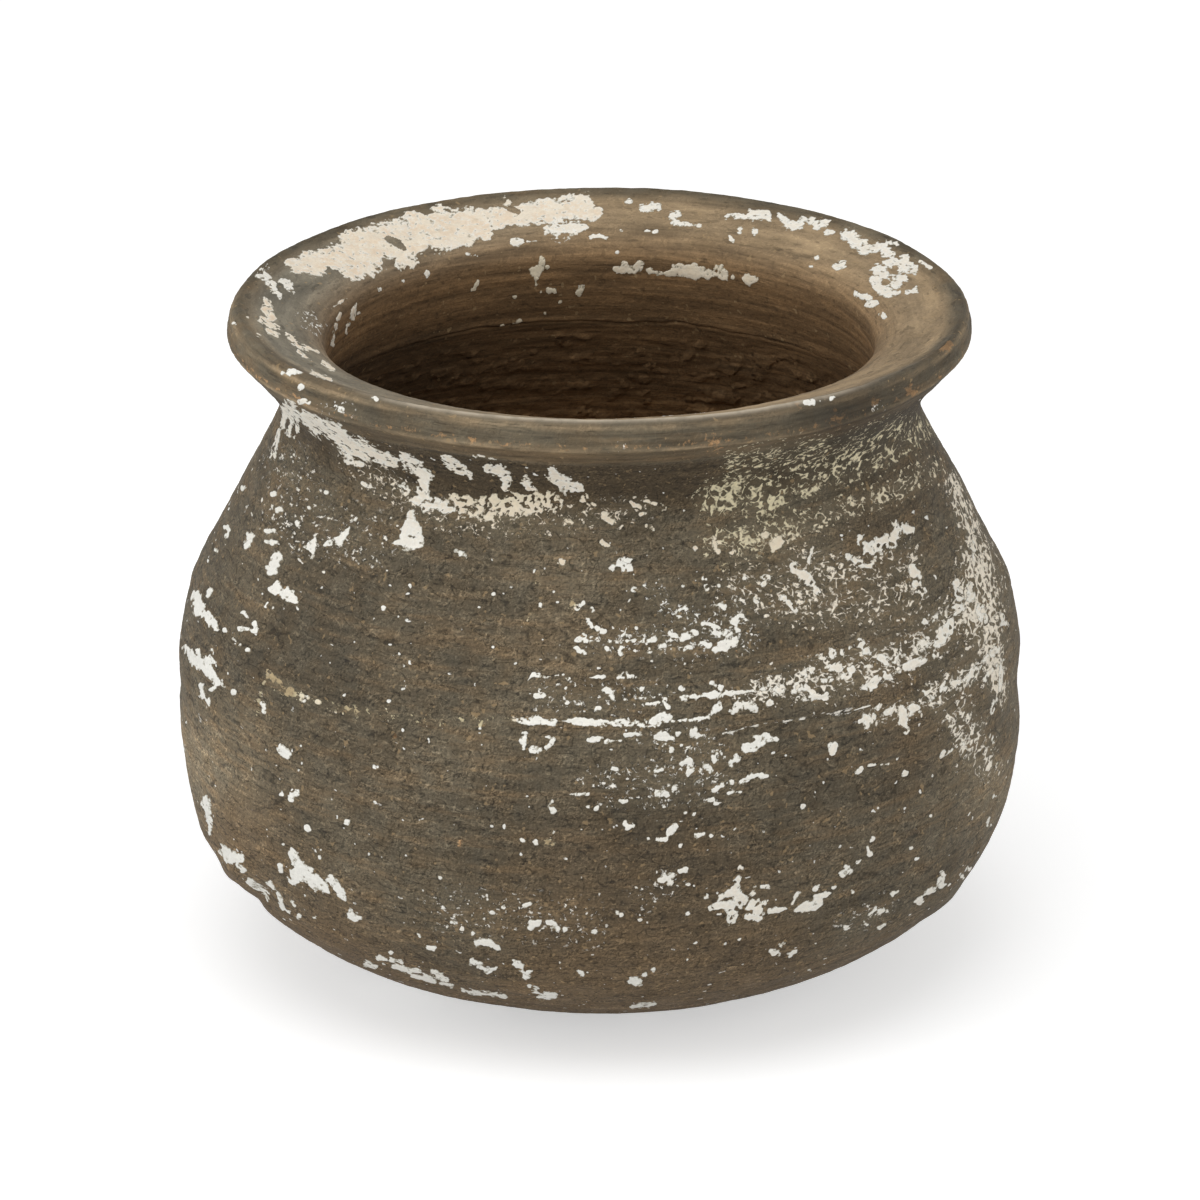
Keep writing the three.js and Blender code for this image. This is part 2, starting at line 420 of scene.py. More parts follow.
def damage(points, normals, outer):
    """Depth of the damage and how far it bares the clay."""
    u, v = pixels(points)
    seen = outer * ramp(facing(points, normals), -0.25, -0.05)
    depth = 0
    bare = 0
    for across, down, size, deep, open_clay in DAMAGE.values():
        near = seen * np.exp(-((u - across) ** 2 + (v - down) ** 2) / size ** 2)
        depth = depth + deep * near
        bare = np.maximum(bare, open_clay * near)
    return depth, bare


def strays(points, normals, outer):
    """How far the skin stands off its true profile, along its normal."""
    z = points[..., 2]
    inner = ~outer
    deep = inner * ramp(NECK_SEAM_Z - 2 - z, 0, 6)
    body = outer * ramp(LIP_Z - 6 - z, 0, 8)
    total = 1.0 * (noise(points, 85, 1) - 0.5) + 0.5 * (noise(points, 30, 2) - 0.5)
    total += body * 0.5 * (noise(points, 17, 3) - 0.5)
    total += body * 0.3 * (noise(lengthways(points, 25), 4.0, 4) - 0.5)
    total += 0.16 * (noise(lengthways(points, 30), 1.6, 5) - 0.5)
    total += 0.26 * (noise(points, 2.4, 9) - 0.5)
    for height, half_width, rise in RIDGES:
        total += body * rise * np.exp(-((z - height) / half_width) ** 2)
    drag = noise(lengthways(points, 6), 6, 6) - 0.5
    gouge = layered(lengthways(points, 2), 3.0, 2, 7) - 0.5
    dents = ramp(noise(points, 5, 15), 0.70, 0.82)
    dents = dents + ramp(noise(lengthways(points, 1.6), 3.2, 16), 0.72, 0.84)
    total += deep * (0.8 * drag + 1.2 * gouge + 0.7 * dents)
    total += inner * 0.35 * (noise(lengthways(points, 14), 2.2, 8) - 0.5)
    wander = 3.0 * (noise(points, 24, 11) - 0.5) + 1.6 * (noise(points, 6, 12) - 0.5)
    ledge = np.exp(-((z - NECK_LEDGE_Z - wander) / LEDGE_HALF) ** 2)
    total -= inner * LEDGE_DEPTH * ledge * (0.3 + 1.4 * noise(points, 13, 13))
    lip = outer * ramp(z, LIP_Z - 0.5, LIP_Z + 1.5)
    total += lip * 0.5 * (noise(lengthways(points, 40), 1.3, 14) - 0.5)
    total += outer * STRIP_PROUD * bead(z, STRIP_LOW_Z, STRIP_HIGH_Z)
    in_plan = points * np.array([1, 1, 0])
    clear = (0.15 + ramp(points[..., 0], -40, 90)) * (0.5 + 0.9 * noise(in_plan, 22, 10))
    for height in (STRIP_LOW_Z, STRIP_HIGH_Z):
        total -= outer * CREASE_DEPTH * clear * np.exp(-((z - height) / CREASE_HALF) ** 2)
    total -= damage(points, normals, outer)[0]
    return total * np.where(outer, ramp(z, 0.5, 10), 1)


def wall(s, theta):
    """Points and normals of the real, irregular skin."""
    nudge = 0.3
    outer = (s <= CREST_S)[:, None]
    points, normals = skin(s, theta)
    real = points + normals * strays(points, normals, outer)[..., None]
    ahead, ahead_normals = skin(s + nudge, theta)
    ahead = ahead + ahead_normals * strays(ahead, ahead_normals, outer)[..., None]
    upward = ahead - real
    round_about = np.roll(real, -1, axis=1) - np.roll(real, 1, axis=1)
    cross = np.cross(round_about, upward)
    size = np.linalg.norm(cross, axis=-1, keepdims=True)
    return real, np.where(size > 1e-9, cross / np.maximum(size, 1e-9), normals)


# Remnants of limewash as the photograph shows them. Each has its kind, how much of it is left, its tint
# from 0, white, by 1, cream, and 2, yellow, to 3, tan, and its strokes, each a line of places in pixels
# with the half width there.
FLAKE, SPECKS, STREAKS = "flake", "specks", "streaks"
OUTSIDE_LIMEWASH = {
    "neck, left end": (FLAKE, 0.84, 0.5, [
        [(287, 402, 4), (286, 415, 4), (281, 430, 2), (277, 445, 2), (275, 458, 1)],
        [(293, 405, 4), (293, 420, 3), (289, 435, 2)], [(298, 412, 3), (299, 425, 2), (296, 438, 1.5)],
        [(283, 425, 2), (276, 440, 1.5), (271, 458, 1)], [(300, 401, 2), (310, 402, 2)],
    ]),
    "neck, main band": (FLAKE, 0.89, 0.5, [
        [(306, 416, 6), (320, 426, 10), (335, 432, 9), (348, 445, 10), (362, 448, 9), (380, 456, 8),
         (394, 460, 6)], [(402, 458, 5), (410, 463, 8), (420, 470, 7), (427, 478, 5)],
        [(424, 483, 7), (424, 494, 7)], [(404, 485, 5), (406, 490, 5)],
        [(412, 500, 3), (428, 502, 8), (440, 505, 6), (448, 509, 7)], [(349, 462, 3), (362, 464, 2)],
        [(363, 484, 3), (375, 488, 2)],
    ]),
    "neck, slanting pieces": (FLAKE, 0.88, 0.7, [
        [(443, 457, 3), (453, 463, 6), (462, 470, 6), (470, 475, 3)],
        [(487, 468, 4), (497, 470, 6), (508, 478, 6), (505, 488, 3)], [(524, 479, 4), (530, 488, 5)],
        [(552, 470, 4), (556, 478, 7), (566, 486, 8), (580, 486, 4)], [(474, 455, 1.5), (496, 459, 1)],
    ]),
    "neck, porous crust": (FLAKE, 0.72, 1.4, [
        [(454, 498, 5), (468, 506, 9), (485, 508, 12), (505, 508, 12), (530, 505, 12), (550, 500, 11)],
        [(565, 518, 4), (572, 522, 3)], [(585, 500, 4), (594, 505, 3)], [(605, 516, 5), (613, 520, 3)],
    ]),
    "neck, curls": (FLAKE, 0.95, 1.2, [
        [(630, 502, 1.5), (640, 508, 2)], [(646, 501, 2), (656, 504, 1.5)],
        [(641, 514, 2), (652, 513, 1.5)], [(660, 504, 1.5), (668, 508, 2), (660, 512, 1.5)],
        [(635, 497, 2.5)], [(647, 526, 2), (652, 528, 2)], [(602, 542, 2), (608, 546, 1.5)],
        [(562, 562, 2.5)],
    ]),
    "neck, crumbs": (SPECKS, 0.36, 0.9, [
        [(430, 512, 14), (500, 524, 14), (580, 515, 14), (640, 508, 12)],
        [(340, 452, 10), (385, 478, 18), (412, 500, 12)],
    ]),
    "shoulder, trapezoid": (FLAKE, 0.96, 0.3, [
        [(411, 512, 4), (411, 522, 6), (411, 532, 10), (411, 540, 12)], [(397, 543, 3), (405, 541, 3)],
    ]),
    "shoulder, left blots": (FLAKE, 1.0, 0.1, [
        [(277, 557, 5), (272, 568, 7)], [(275, 588, 6)], [(286, 594, 6), (294, 599, 4)],
        [(252, 536, 4), (247, 547, 3)], [(226, 527, 2.5), (230, 531, 2), (227, 536, 2)], [(244, 488, 3)],
        [(280, 510, 3)], [(269, 532, 3), (276, 531, 2)], [(268, 543, 4), (276, 542, 3)], [(276, 495, 3)],
        [(283, 490, 2)], [(302, 478, 2.5)], [(298, 523, 3)], [(356, 519, 2.5)], [(327, 493, 2)],
        [(325, 545, 2), (331, 542, 2)], [(338, 540, 4), (344, 534, 3), (350, 528, 2.5)],
        [(315, 541, 2.5), (309, 548, 3.5), (313, 552, 2), (311, 558, 2)], [(456, 552, 3), (465, 555, 3)],
        [(216, 551, 2)], [(384, 608, 2)], [(274, 608, 2.5)], [(310, 508, 2)], [(391, 517, 2)],
    ]),
    "shoulder, left flecks": (SPECKS, 0.14, 0.3, [[(290, 470, 26), (300, 520, 34), (370, 540, 26)]]),
    "shoulder, far left": (FLAKE, 1.0, 0.0, [
        [(197, 594, 3.5), (200, 605, 7), (199, 612, 4)], [(210, 590, 3), (208, 596, 2)],
        [(206, 614, 4), (214, 622, 4), (216, 628, 2)], [(225, 630, 2.5)], [(242, 629, 3), (249, 629, 3)],
        [(255, 624, 2), (255, 631, 3)], [(243, 613, 1.5), (247, 617, 2)],
        [(233, 638, 2), (240, 645, 2.5)], [(248, 650, 2)],
    ]),
    "splash": (FLAKE, 0.98, 0.0, [
        [(187, 648, 3), (195, 658, 5), (203, 665, 6), (212, 676, 5), (224, 687, 2)],
        [(205, 660, 5), (215, 662, 2)], [(198, 650, 2), (201, 656, 3)], [(203, 685, 2), (204, 697, 2)],
        [(213, 690, 3)], [(209, 700, 2.5), (210, 706, 1.5)], [(233, 692, 3)], [(211, 649, 2)],
    ]),
    "tan stroke": (SPECKS, 0.75, 2.9, [
        [(270, 676, 5), (282, 685, 6), (292, 692, 6), (300, 696, 4)], [(345, 709, 3), (358, 713, 4)],
        [(538, 579, 4)], [(572, 604, 4)], [(532, 616, 4)], [(545, 842, 3), (553, 844, 3)],
        [(725, 564, 5)],
    ]),
    "tan scratch": (STREAKS, 0.75, 2.6, [
        [(271, 670, 1), (264, 684, 1.5), (259, 700, 1.5), (257, 716, 1)],
    ]),
    "tan stroke, white end": (FLAKE, 0.9, 0.2, [
        [(303, 697, 5), (308, 698, 3)], [(318, 702, 3)], [(263, 704, 2), (266, 711, 2)],
    ]),
    "belly, left drips": (FLAKE, 1.0, 0.0, [
        [(282, 748, 3.5), (288, 755, 3)], [(299, 770, 1.5)], [(300, 779, 1.5)],
        [(297, 791, 3), (293, 798, 3.5)], [(309, 826, 3), (311, 829, 2)], [(346, 823, 2), (349, 821, 2)],
        [(285, 843, 2)], [(322, 849, 1.5)], [(321, 857, 1.5)],
        [(206, 800, 3), (210, 812, 3), (212, 826, 2.5), (212, 834, 1.5)],
    ]),
    "left foot": (FLAKE, 1.0, 0.0, [
        [(225, 850, 5), (233, 855, 6), (243, 858, 4)], [(242, 862, 2.5), (247, 869, 2)],
        [(250, 880, 3), (258, 892, 3), (266, 902, 2)], [(279, 864, 2.5), (282, 870, 2)],
        [(293, 853, 5), (296, 862, 7), (305, 872, 8)], [(296, 870, 5), (295, 881, 4)],
        [(307, 874, 5), (317, 883, 7), (325, 887, 5)], [(332, 878, 3), (335, 885, 4), (344, 894, 4)],
        [(268, 885, 3), (272, 889, 2.5)], [(278, 894, 2), (281, 902, 2.5), (283, 908, 2)],
        [(292, 901, 2.5), (295, 906, 2)], [(289, 911, 2)], [(299, 916, 2.5)], [(315, 917, 2.5)],
        [(352, 914, 4), (358, 918, 3.5)],
    ]),
    "foot, left smear": (FLAKE, 1.0, 0.1, [
        [(379, 958, 3), (386, 959, 2)], [(383, 964, 2)], [(391, 960, 2.5), (402, 963, 1.5)],
        [(366, 963, 3), (376, 967, 1.5)], [(394, 966, 2), (405, 970, 3), (418, 972, 2.5)],
        [(413, 976, 2), (425, 979, 3), (434, 982, 2)], [(432, 971, 3), (438, 975, 4), (446, 980, 3)],
        [(441, 984, 2), (452, 986, 1.5)], [(462, 991, 1.5), (485, 995, 2), (505, 998, 1.5)],
        [(391, 952, 2)], [(416, 932, 1.5), (419, 935, 2)], [(429, 947, 2), (434, 948, 2)],
        [(441, 877, 1.5)], [(424, 890, 1.5)],
    ]),
    "foot, blots": (FLAKE, 1.0, 0.0, [
        [(477, 943, 4), (483, 941, 3.5), (490, 942, 3), (497, 946, 4)],
        [(472, 961, 3.5), (480, 964, 3.5), (487, 970, 3), (496, 968, 2)],
        [(516, 963, 4), (522, 969, 4), (527, 976, 3)], [(527, 971, 4), (532, 971, 2)],
        [(530, 987, 2), (536, 990, 3.5)], [(538, 998, 2), (545, 996, 3.5), (555, 995, 2.5)],
        [(533, 924, 4), (538, 923, 3)], [(547, 922, 2), (553, 924, 4), (557, 928, 3)], [(565, 929, 2)],
        [(595, 931, 3)], [(492, 912, 2.5)], [(503, 907, 2)], [(524, 906, 2), (530, 904, 1.5)],
        [(473, 932, 2)], [(560, 962, 2)], [(578, 971, 2), (583, 974, 1.5)], [(469, 900, 2)],
        [(444, 907, 2)], [(452, 921, 2), (456, 922, 1.5)], [(632, 980, 3), (640, 982, 3)],
        [(645, 974, 2)], [(653, 969, 2)], [(632, 1006, 2), (655, 1003, 2)],
    ]),
    "foot, crumbs": (SPECKS, 0.1, 0.3, [
        [(440, 910, 20), (520, 915, 24), (590, 925, 22)], [(640, 900, 14), (670, 882, 14)],
        [(846, 925, 12), (880, 908, 14)],
    ]),
    "lower middle": (FLAKE, 0.97, 0.2, [
        [(660, 880, 2), (669, 876, 4), (670, 882, 3)], [(680, 870, 2), (686, 869, 2)], [(677, 885, 2)],
        [(636, 887, 1.5)], [(648, 881, 1.5)], [(616, 911, 2)], [(622, 914, 1.5)], [(688, 914, 2)],
        [(625, 823, 2.5), (628, 827, 3), (634, 827, 2)], [(669, 831, 4), (675, 826, 3)], [(648, 839, 2)],
        [(657, 839, 2.5), (666, 839, 1.5)], [(680, 845, 2)], [(697, 836, 2), (704, 834, 1.5)],
        [(712, 836, 2)], [(553, 832, 2)], [(523, 841, 2)], [(535, 842, 2)],
    ]),
    "star": (FLAKE, 0.86, 0.5, [
        [(712, 908, 3), (720, 906, 5), (732, 905, 6)], [(736, 898, 6), (734, 888, 5), (738, 880, 4)],
        [(740, 867, 2.5)], [(727, 895, 5), (722, 898, 3)], [(706, 897, 2)],
        [(742, 902, 8), (755, 906, 7), (760, 912, 5)], [(748, 916, 4), (760, 918, 3)],
        [(753, 895, 4), (756, 887, 3)], [(762, 887, 3), (768, 887, 2)],
        [(733, 914, 6), (729, 922, 3), (728, 927, 2)], [(764, 903, 3)],
    ]),
    "right foot": (FLAKE, 1.0, 0.4, [
        [(738, 940, 1.5), (741, 938, 1.5)], [(770, 912, 2.5), (778, 911, 3), (785, 909, 2)],
        [(797, 911, 3), (805, 908, 4), (814, 906, 5), (820, 902, 4)],
        [(818, 897, 3), (826, 895, 3), (830, 894, 2)], [(793, 903, 2.5), (799, 893, 2)],
        [(816, 889, 3), (820, 885, 2)], [(833, 888, 2), (836, 887, 1.5)], [(853, 892, 2)],
        [(843, 875, 3), (850, 870, 3)], [(846, 866, 2)], [(858, 863, 2), (863, 859, 1.5)],
        [(868, 848, 2), (869, 854, 3)], [(871, 841, 1.5), (874, 838, 1.5)], [(911, 848, 2)],
        [(893, 895, 2.5), (898, 891, 2)], [(870, 915, 2.5), (876, 908, 2)],
        [(880, 912, 2.5), (888, 911, 1.5)], [(846, 927, 3)], [(866, 924, 2)],
        [(880, 928, 2), (884, 925, 1.5)], [(918, 902, 2.5), (921, 896, 3), (930, 889, 3)],
        [(940, 880, 3), (939, 884, 3), (944, 883, 2)], [(942, 873, 2)], [(773, 953, 3), (780, 953, 2.5)],
        [(790, 955, 3), (795, 953, 2.5)], [(781, 946, 2), (784, 944, 1.5)],
        [(989, 818, 2), (987, 826, 2)], [(995, 796, 2)], [(961, 876, 2)], [(968, 868, 2)],
        [(930, 816, 2)], [(809, 969, 2)],
    ]),
    "ring line": (FLAKE, 0.92, 0.1, [
        [(513, 720, 1.5), (522, 720, 3), (532, 721, 4.5), (538, 721, 4)],
        [(545, 722, 3), (556, 721, 3.5)], [(560, 721, 1), (575, 721, 1)],
        [(575, 722, 3), (590, 723, 4), (610, 723, 4.5), (630, 723, 4), (645, 723, 4.5)],
        [(652, 722, 4), (660, 720, 5), (669, 716, 4)], [(672, 721, 1.5), (685, 720, 1.5), (700, 719, 2)],
        [(700, 718, 2), (708, 717, 3)], [(714, 713, 4), (720, 704, 3)], [(733, 712, 4), (740, 703, 4)],
        [(684, 698, 3), (700, 696, 2), (715, 694, 4), (730, 693, 2.5), (748, 691, 2.5)], [(682, 689, 3)],
        [(712, 683, 3), (720, 687, 3)],
    ]),
    "above the ring line": (FLAKE, 0.85, 0.1, [
        [(528, 680, 1), (533, 675, 1.5), (540, 676, 2), (550, 677, 1.5), (558, 675, 1.5)],
        [(563, 675, 2), (568, 679, 2)], [(585, 678, 1.5), (604, 677, 2)],
        [(618, 678, 1.5), (625, 675, 3), (636, 677, 1.5)], [(536, 696, 2.5), (543, 695, 2)],
        [(565, 688, 2)], [(567, 703, 2)], [(605, 689, 3), (611, 692, 3), (614, 700, 3)], [(625, 699, 2)],
        [(641, 688, 2.5)], [(640, 698, 2), (655, 697, 1.5)], [(595, 711, 2.5), (600, 709, 1.5)],
        [(547, 710, 2)], [(646, 705, 2), (658, 702, 2)], [(665, 700, 2), (668, 707, 2)],
        [(749, 703, 3), (755, 709, 3)],
    ]),
    "below the ring line": (FLAKE, 0.97, 0.1, [
        [(524, 734, 3), (522, 742, 2.5), (524, 749, 1.5)], [(531, 750, 2.5), (540, 749, 3)],
        [(547, 737, 2), (553, 738, 2), (551, 744, 2), (545, 748, 2)], [(588, 740, 1.5), (598, 738, 2.5)],
        [(607, 740, 3), (615, 741, 2.5), (621, 741, 1.5)],
        [(655, 737, 2.5), (664, 735, 5), (672, 738, 2)], [(678, 734, 2)], [(694, 733, 4), (700, 735, 3)],
        [(626, 735, 1.5), (640, 734, 2)], [(672, 749, 3.5)], [(663, 747, 2)], [(681, 745, 2.5)],
        [(683, 763, 3), (690, 760, 3), (690, 770, 4), (688, 776, 2)], [(705, 766, 3), (711, 770, 3)],
        [(716, 760, 4)], [(718, 752, 2.5)], [(731, 763, 5), (738, 758, 4)],
        [(747, 749, 5), (757, 744, 5)], [(760, 741, 5), (768, 738, 4), (777, 740, 2)],
        [(612, 768, 2), (617, 770, 2)], [(649, 772, 2.5)], [(655, 771, 2), (662, 770, 2)],
        [(658, 793, 3), (665, 795, 3.5)], [(675, 790, 3)], [(714, 791, 3), (722, 786, 3)],
        [(732, 782, 2)], [(741, 782, 2), (748, 778, 2)],
        [(752, 776, 2.5), (762, 775, 2.5), (768, 776, 2)], [(710, 801, 2), (713, 799, 2)],
        [(716, 804, 2), (722, 803, 2)], [(729, 793, 1.5), (742, 792, 1.5)],
        [(621, 801, 2.5), (627, 801, 2)], [(588, 807, 2)], [(597, 808, 2)], [(607, 807, 1.5)],
        [(553, 801, 1.5), (548, 806, 2.5), (553, 811, 2)], [(686, 813, 2)], [(694, 814, 3)],
        [(570, 794, 1.2), (588, 794, 1.2)],
    ]),
    "ring, crumbs": (SPECKS, 0.3, 0.2, [
        [(545, 695, 12), (600, 700, 14), (660, 695, 12)],
        [(600, 640, 12), (660, 640, 14), (700, 640, 20), (745, 640, 14)],
        [(640, 738, 6), (700, 745, 16), (720, 775, 16), (650, 775, 14), (590, 780, 10)],
        [(600, 804, 4), (650, 802, 5), (710, 798, 6)],
    ]),
    "ring, faint on the left": (SPECKS, 0.2, 2.4, [
        [(312, 700, 4), (345, 709, 4), (400, 717, 4), (455, 721, 4), (513, 721, 3)],
    ]),
    "ring, scratch": (STREAKS, 0.6, 0.4, [
        [(712, 737, 1), (748, 727, 1), (780, 722, 1), (800, 719, 1.5), (870, 706, 1.5)],
    ]),
    "middle": (FLAKE, 0.82, 0.1, [
        [(576, 641, 2.5), (583, 636, 3)], [(577, 648, 2.5), (583, 653, 3), (588, 654, 2)],
        [(585, 641, 1), (620, 641, 1)], [(618, 638, 2), (625, 634, 3), (628, 629, 2)], [(636, 628, 2)],
        [(622, 641, 2), (635, 640, 1.5)], [(608, 638, 2)], [(620, 654, 3), (622, 648, 2.5)],
        [(607, 648, 2)], [(640, 641, 1.5), (655, 640, 2)], [(650, 650, 2.5)],
        [(660, 647, 2), (665, 645, 3)], [(672, 634, 3), (677, 636, 2)],
        [(682, 638, 3), (689, 636, 4), (696, 633, 3)], [(684, 650, 3), (690, 647, 3)], [(685, 664, 2)],
        [(703, 623, 3), (712, 627, 5), (718, 632, 4)], [(720, 634, 4), (732, 632, 4), (739, 630, 4)],
        [(703, 645, 4), (710, 645, 3)], [(716, 649, 4), (725, 646, 6), (733, 643, 4), (737, 638, 3)],
        [(714, 605, 2), (719, 605, 3), (724, 608, 4)], [(735, 622, 3), (741, 617, 3)],
        [(680, 614, 3.5), (687, 609, 4)], [(634, 590, 3)], [(629, 600, 2)],
        [(577, 608, 3), (583, 603, 2)], [(592, 610, 2.5)], [(588, 620, 2.5), (592, 627, 2)],
        [(597, 628, 3), (603, 632, 2)], [(479, 607, 2.5)], [(493, 594, 2)], [(540, 605, 2)],
        [(683, 586, 2.5)], [(707, 587, 2.5)], [(719, 586, 2)], [(704, 578, 3)], [(718, 577, 2)],
        [(745, 577, 2.5)], [(613, 568, 3), (620, 562, 4), (625, 567, 3), (632, 569, 3)],
        [(621, 560, 3), (632, 560, 2)],
    ]),
    "middle, pale film": (SPECKS, 0.3, 0.0, [
        [(645, 590, 5), (658, 598, 10), (672, 612, 10)], [(690, 622, 14), (735, 610, 14)],
    ]),
    "shoulder, crust on the right": (SPECKS, 0.6, 1.9, [
        [(712, 500, 16), (745, 490, 24), (775, 500, 20)],
    ]),
    "shoulder, crust round it": (SPECKS, 0.48, 1.8, [
        [(712, 540, 14), (750, 540, 20), (790, 530, 16)],
        [(735, 462, 12), (780, 455, 14), (820, 448, 14)],
        [(800, 480, 22), (850, 460, 24), (900, 440, 22), (930, 425, 14)],
    ]),
    "shoulder, right sweep": (SPECKS, 0.52, 1.5, [
        [(800, 525, 10), (850, 508, 11), (900, 490, 12), (930, 470, 12)],
    ]),
    "shoulder, right flakes": (FLAKE, 0.78, 0.6, [
        [(862, 540, 4), (868, 550, 5), (873, 562, 3)], [(880, 545, 8), (890, 540, 8), (900, 530, 5)],
        [(905, 528, 7), (912, 530, 4)], [(893, 522, 2), (897, 534, 3)],
        [(848, 557, 5), (856, 562, 4), (870, 566, 3)], [(803, 575, 5), (810, 583, 5), (817, 590, 3)],
        [(795, 568, 4), (798, 574, 2)], [(915, 570, 5), (920, 575, 4)], [(918, 585, 5), (925, 595, 4)],
        [(812, 548, 2), (808, 562, 2)], [(765, 535, 4)], [(762, 577, 2.5), (770, 577, 2)],
        [(764, 584, 2.5)], [(772, 545, 5), (780, 540, 5)], [(732, 552, 4)],
        [(714, 540, 3), (717, 550, 5)], [(790, 603, 3), (796, 610, 3)], [(783, 598, 3)], [(757, 600, 3)],
        [(696, 549, 2.5)],
    ]),
    "shoulder, right crumbs": (SPECKS, 0.44, 0.8, [
        [(800, 560, 18), (850, 580, 16), (900, 560, 20)],
        [(740, 590, 22), (830, 605, 24), (900, 600, 24)],
    ]),
    "right side": (SPECKS, 0.72, 0.8, [
        [(950, 480, 8), (972, 530, 12), (980, 575, 20), (978, 610, 24), (992, 650, 14), (1002, 700, 6)],
    ]),
    "right side, flakes": (FLAKE, 0.75, 0.6, [
        [(957, 582, 3), (960, 597, 4)], [(970, 585, 4), (972, 600, 4)], [(980, 610, 5), (985, 620, 4)],
        [(958, 610, 5), (968, 604, 3)], [(945, 632, 7), (952, 622, 4)], [(925, 620, 4), (935, 618, 4)],
        [(1000, 615, 4), (1003, 622, 3)], [(972, 545, 3), (974, 560, 2)],
        [(992, 735, 1.5), (993, 755, 1.5)], [(990, 715, 2), (994, 700, 2)],
        [(1003, 660, 3), (1000, 690, 2)], [(942, 755, 3), (950, 750, 2.5)],
        [(952, 750, 2), (963, 743, 3)],
    ]),
    "band 1": (FLAKE, 0.78, 0.5, [
        [(755, 690, 3), (768, 688, 3)], [(776, 691, 4), (782, 688, 3)], [(793, 692, 4), (799, 687, 4)],
        [(798, 698, 3), (810, 697, 4), (825, 696, 4)], [(806, 688, 4), (813, 692, 4)],
        [(822, 681, 3), (830, 679, 3)], [(804, 672, 4), (812, 670, 3)], [(845, 677, 3), (850, 675, 2)],
        [(818, 656, 3), (824, 657, 3)], [(831, 654, 4)], [(843, 653, 3), (850, 648, 3)],
        [(860, 644, 4), (866, 650, 4)], [(871, 655, 3)], [(825, 667, 3), (837, 668, 4)], [(853, 670, 4)],
        [(865, 667, 2), (870, 665, 2)], [(770, 703, 3)], [(748, 703, 4)],
    ]),
    "band 2": (FLAKE, 0.82, 0.4, [
        [(868, 686, 5), (875, 683, 6), (884, 678, 4)], [(883, 676, 3), (893, 678, 3), (900, 672, 5)],
        [(905, 668, 5), (915, 663, 4), (925, 660, 3)], [(935, 655, 4), (938, 648, 4)],
        [(922, 645, 5), (927, 640, 4)], [(940, 640, 5)], [(903, 655, 3), (892, 662, 3), (880, 658, 3)],
    ]),
    "band 3": (FLAKE, 0.8, 0.6, [
        [(860, 722, 3), (865, 718, 5), (866, 727, 3)], [(877, 709, 3), (880, 706, 3)],
        [(888, 713, 4), (893, 707, 4)], [(900, 710, 4), (908, 712, 6), (915, 706, 5), (920, 712, 3)],
        [(904, 722, 6), (907, 730, 4)], [(873, 722, 2), (874, 714, 2)], [(928, 690, 5), (932, 698, 5)],
        [(942, 690, 4), (943, 682, 3)], [(955, 684, 3), (958, 678, 2.5)],
        [(965, 680, 3), (980, 665, 3), (995, 650, 4)], [(985, 680, 2), (998, 665, 3)],
    ]),
    "bands, crumbs": (SPECKS, 0.54, 0.6, [
        [(750, 695, 14), (830, 675, 20), (890, 662, 20), (930, 640, 18), (960, 610, 18)],
        [(870, 720, 10), (930, 700, 12), (970, 672, 16)], [(960, 720, 20), (985, 765, 14)],
    ]),
    "right, dashes": (FLAKE, 0.97, 0.5, [
        [(832, 752, 3), (835, 746, 4)], [(857, 772, 2.5), (862, 768, 2)],
        [(868, 765, 1.5), (888, 764, 1.5)], [(905, 773, 2.5)], [(815, 797, 2)], [(803, 807, 1.5)],
    ]),
    "lip": (FLAKE, 1.0, 0.1, [
        [(283, 373, 2.5), (290, 373, 3), (295, 372, 2)], [(300, 372, 2.5)], [(301, 387, 3)],
        [(376, 399, 2.5)], [(343, 409, 2.5)], [(805, 403, 2), (812, 402, 3)], [(831, 399, 3)],
        [(820, 401, 1.5)], [(235, 324, 2)],
    ]),
    "lip, film": (SPECKS, 0.34, 0.1, [
        [(327, 408, 8), (346, 412, 8)], [(876, 408, 4), (886, 404, 4)], [(611, 447, 4), (624, 447, 4)],
    ]),
}
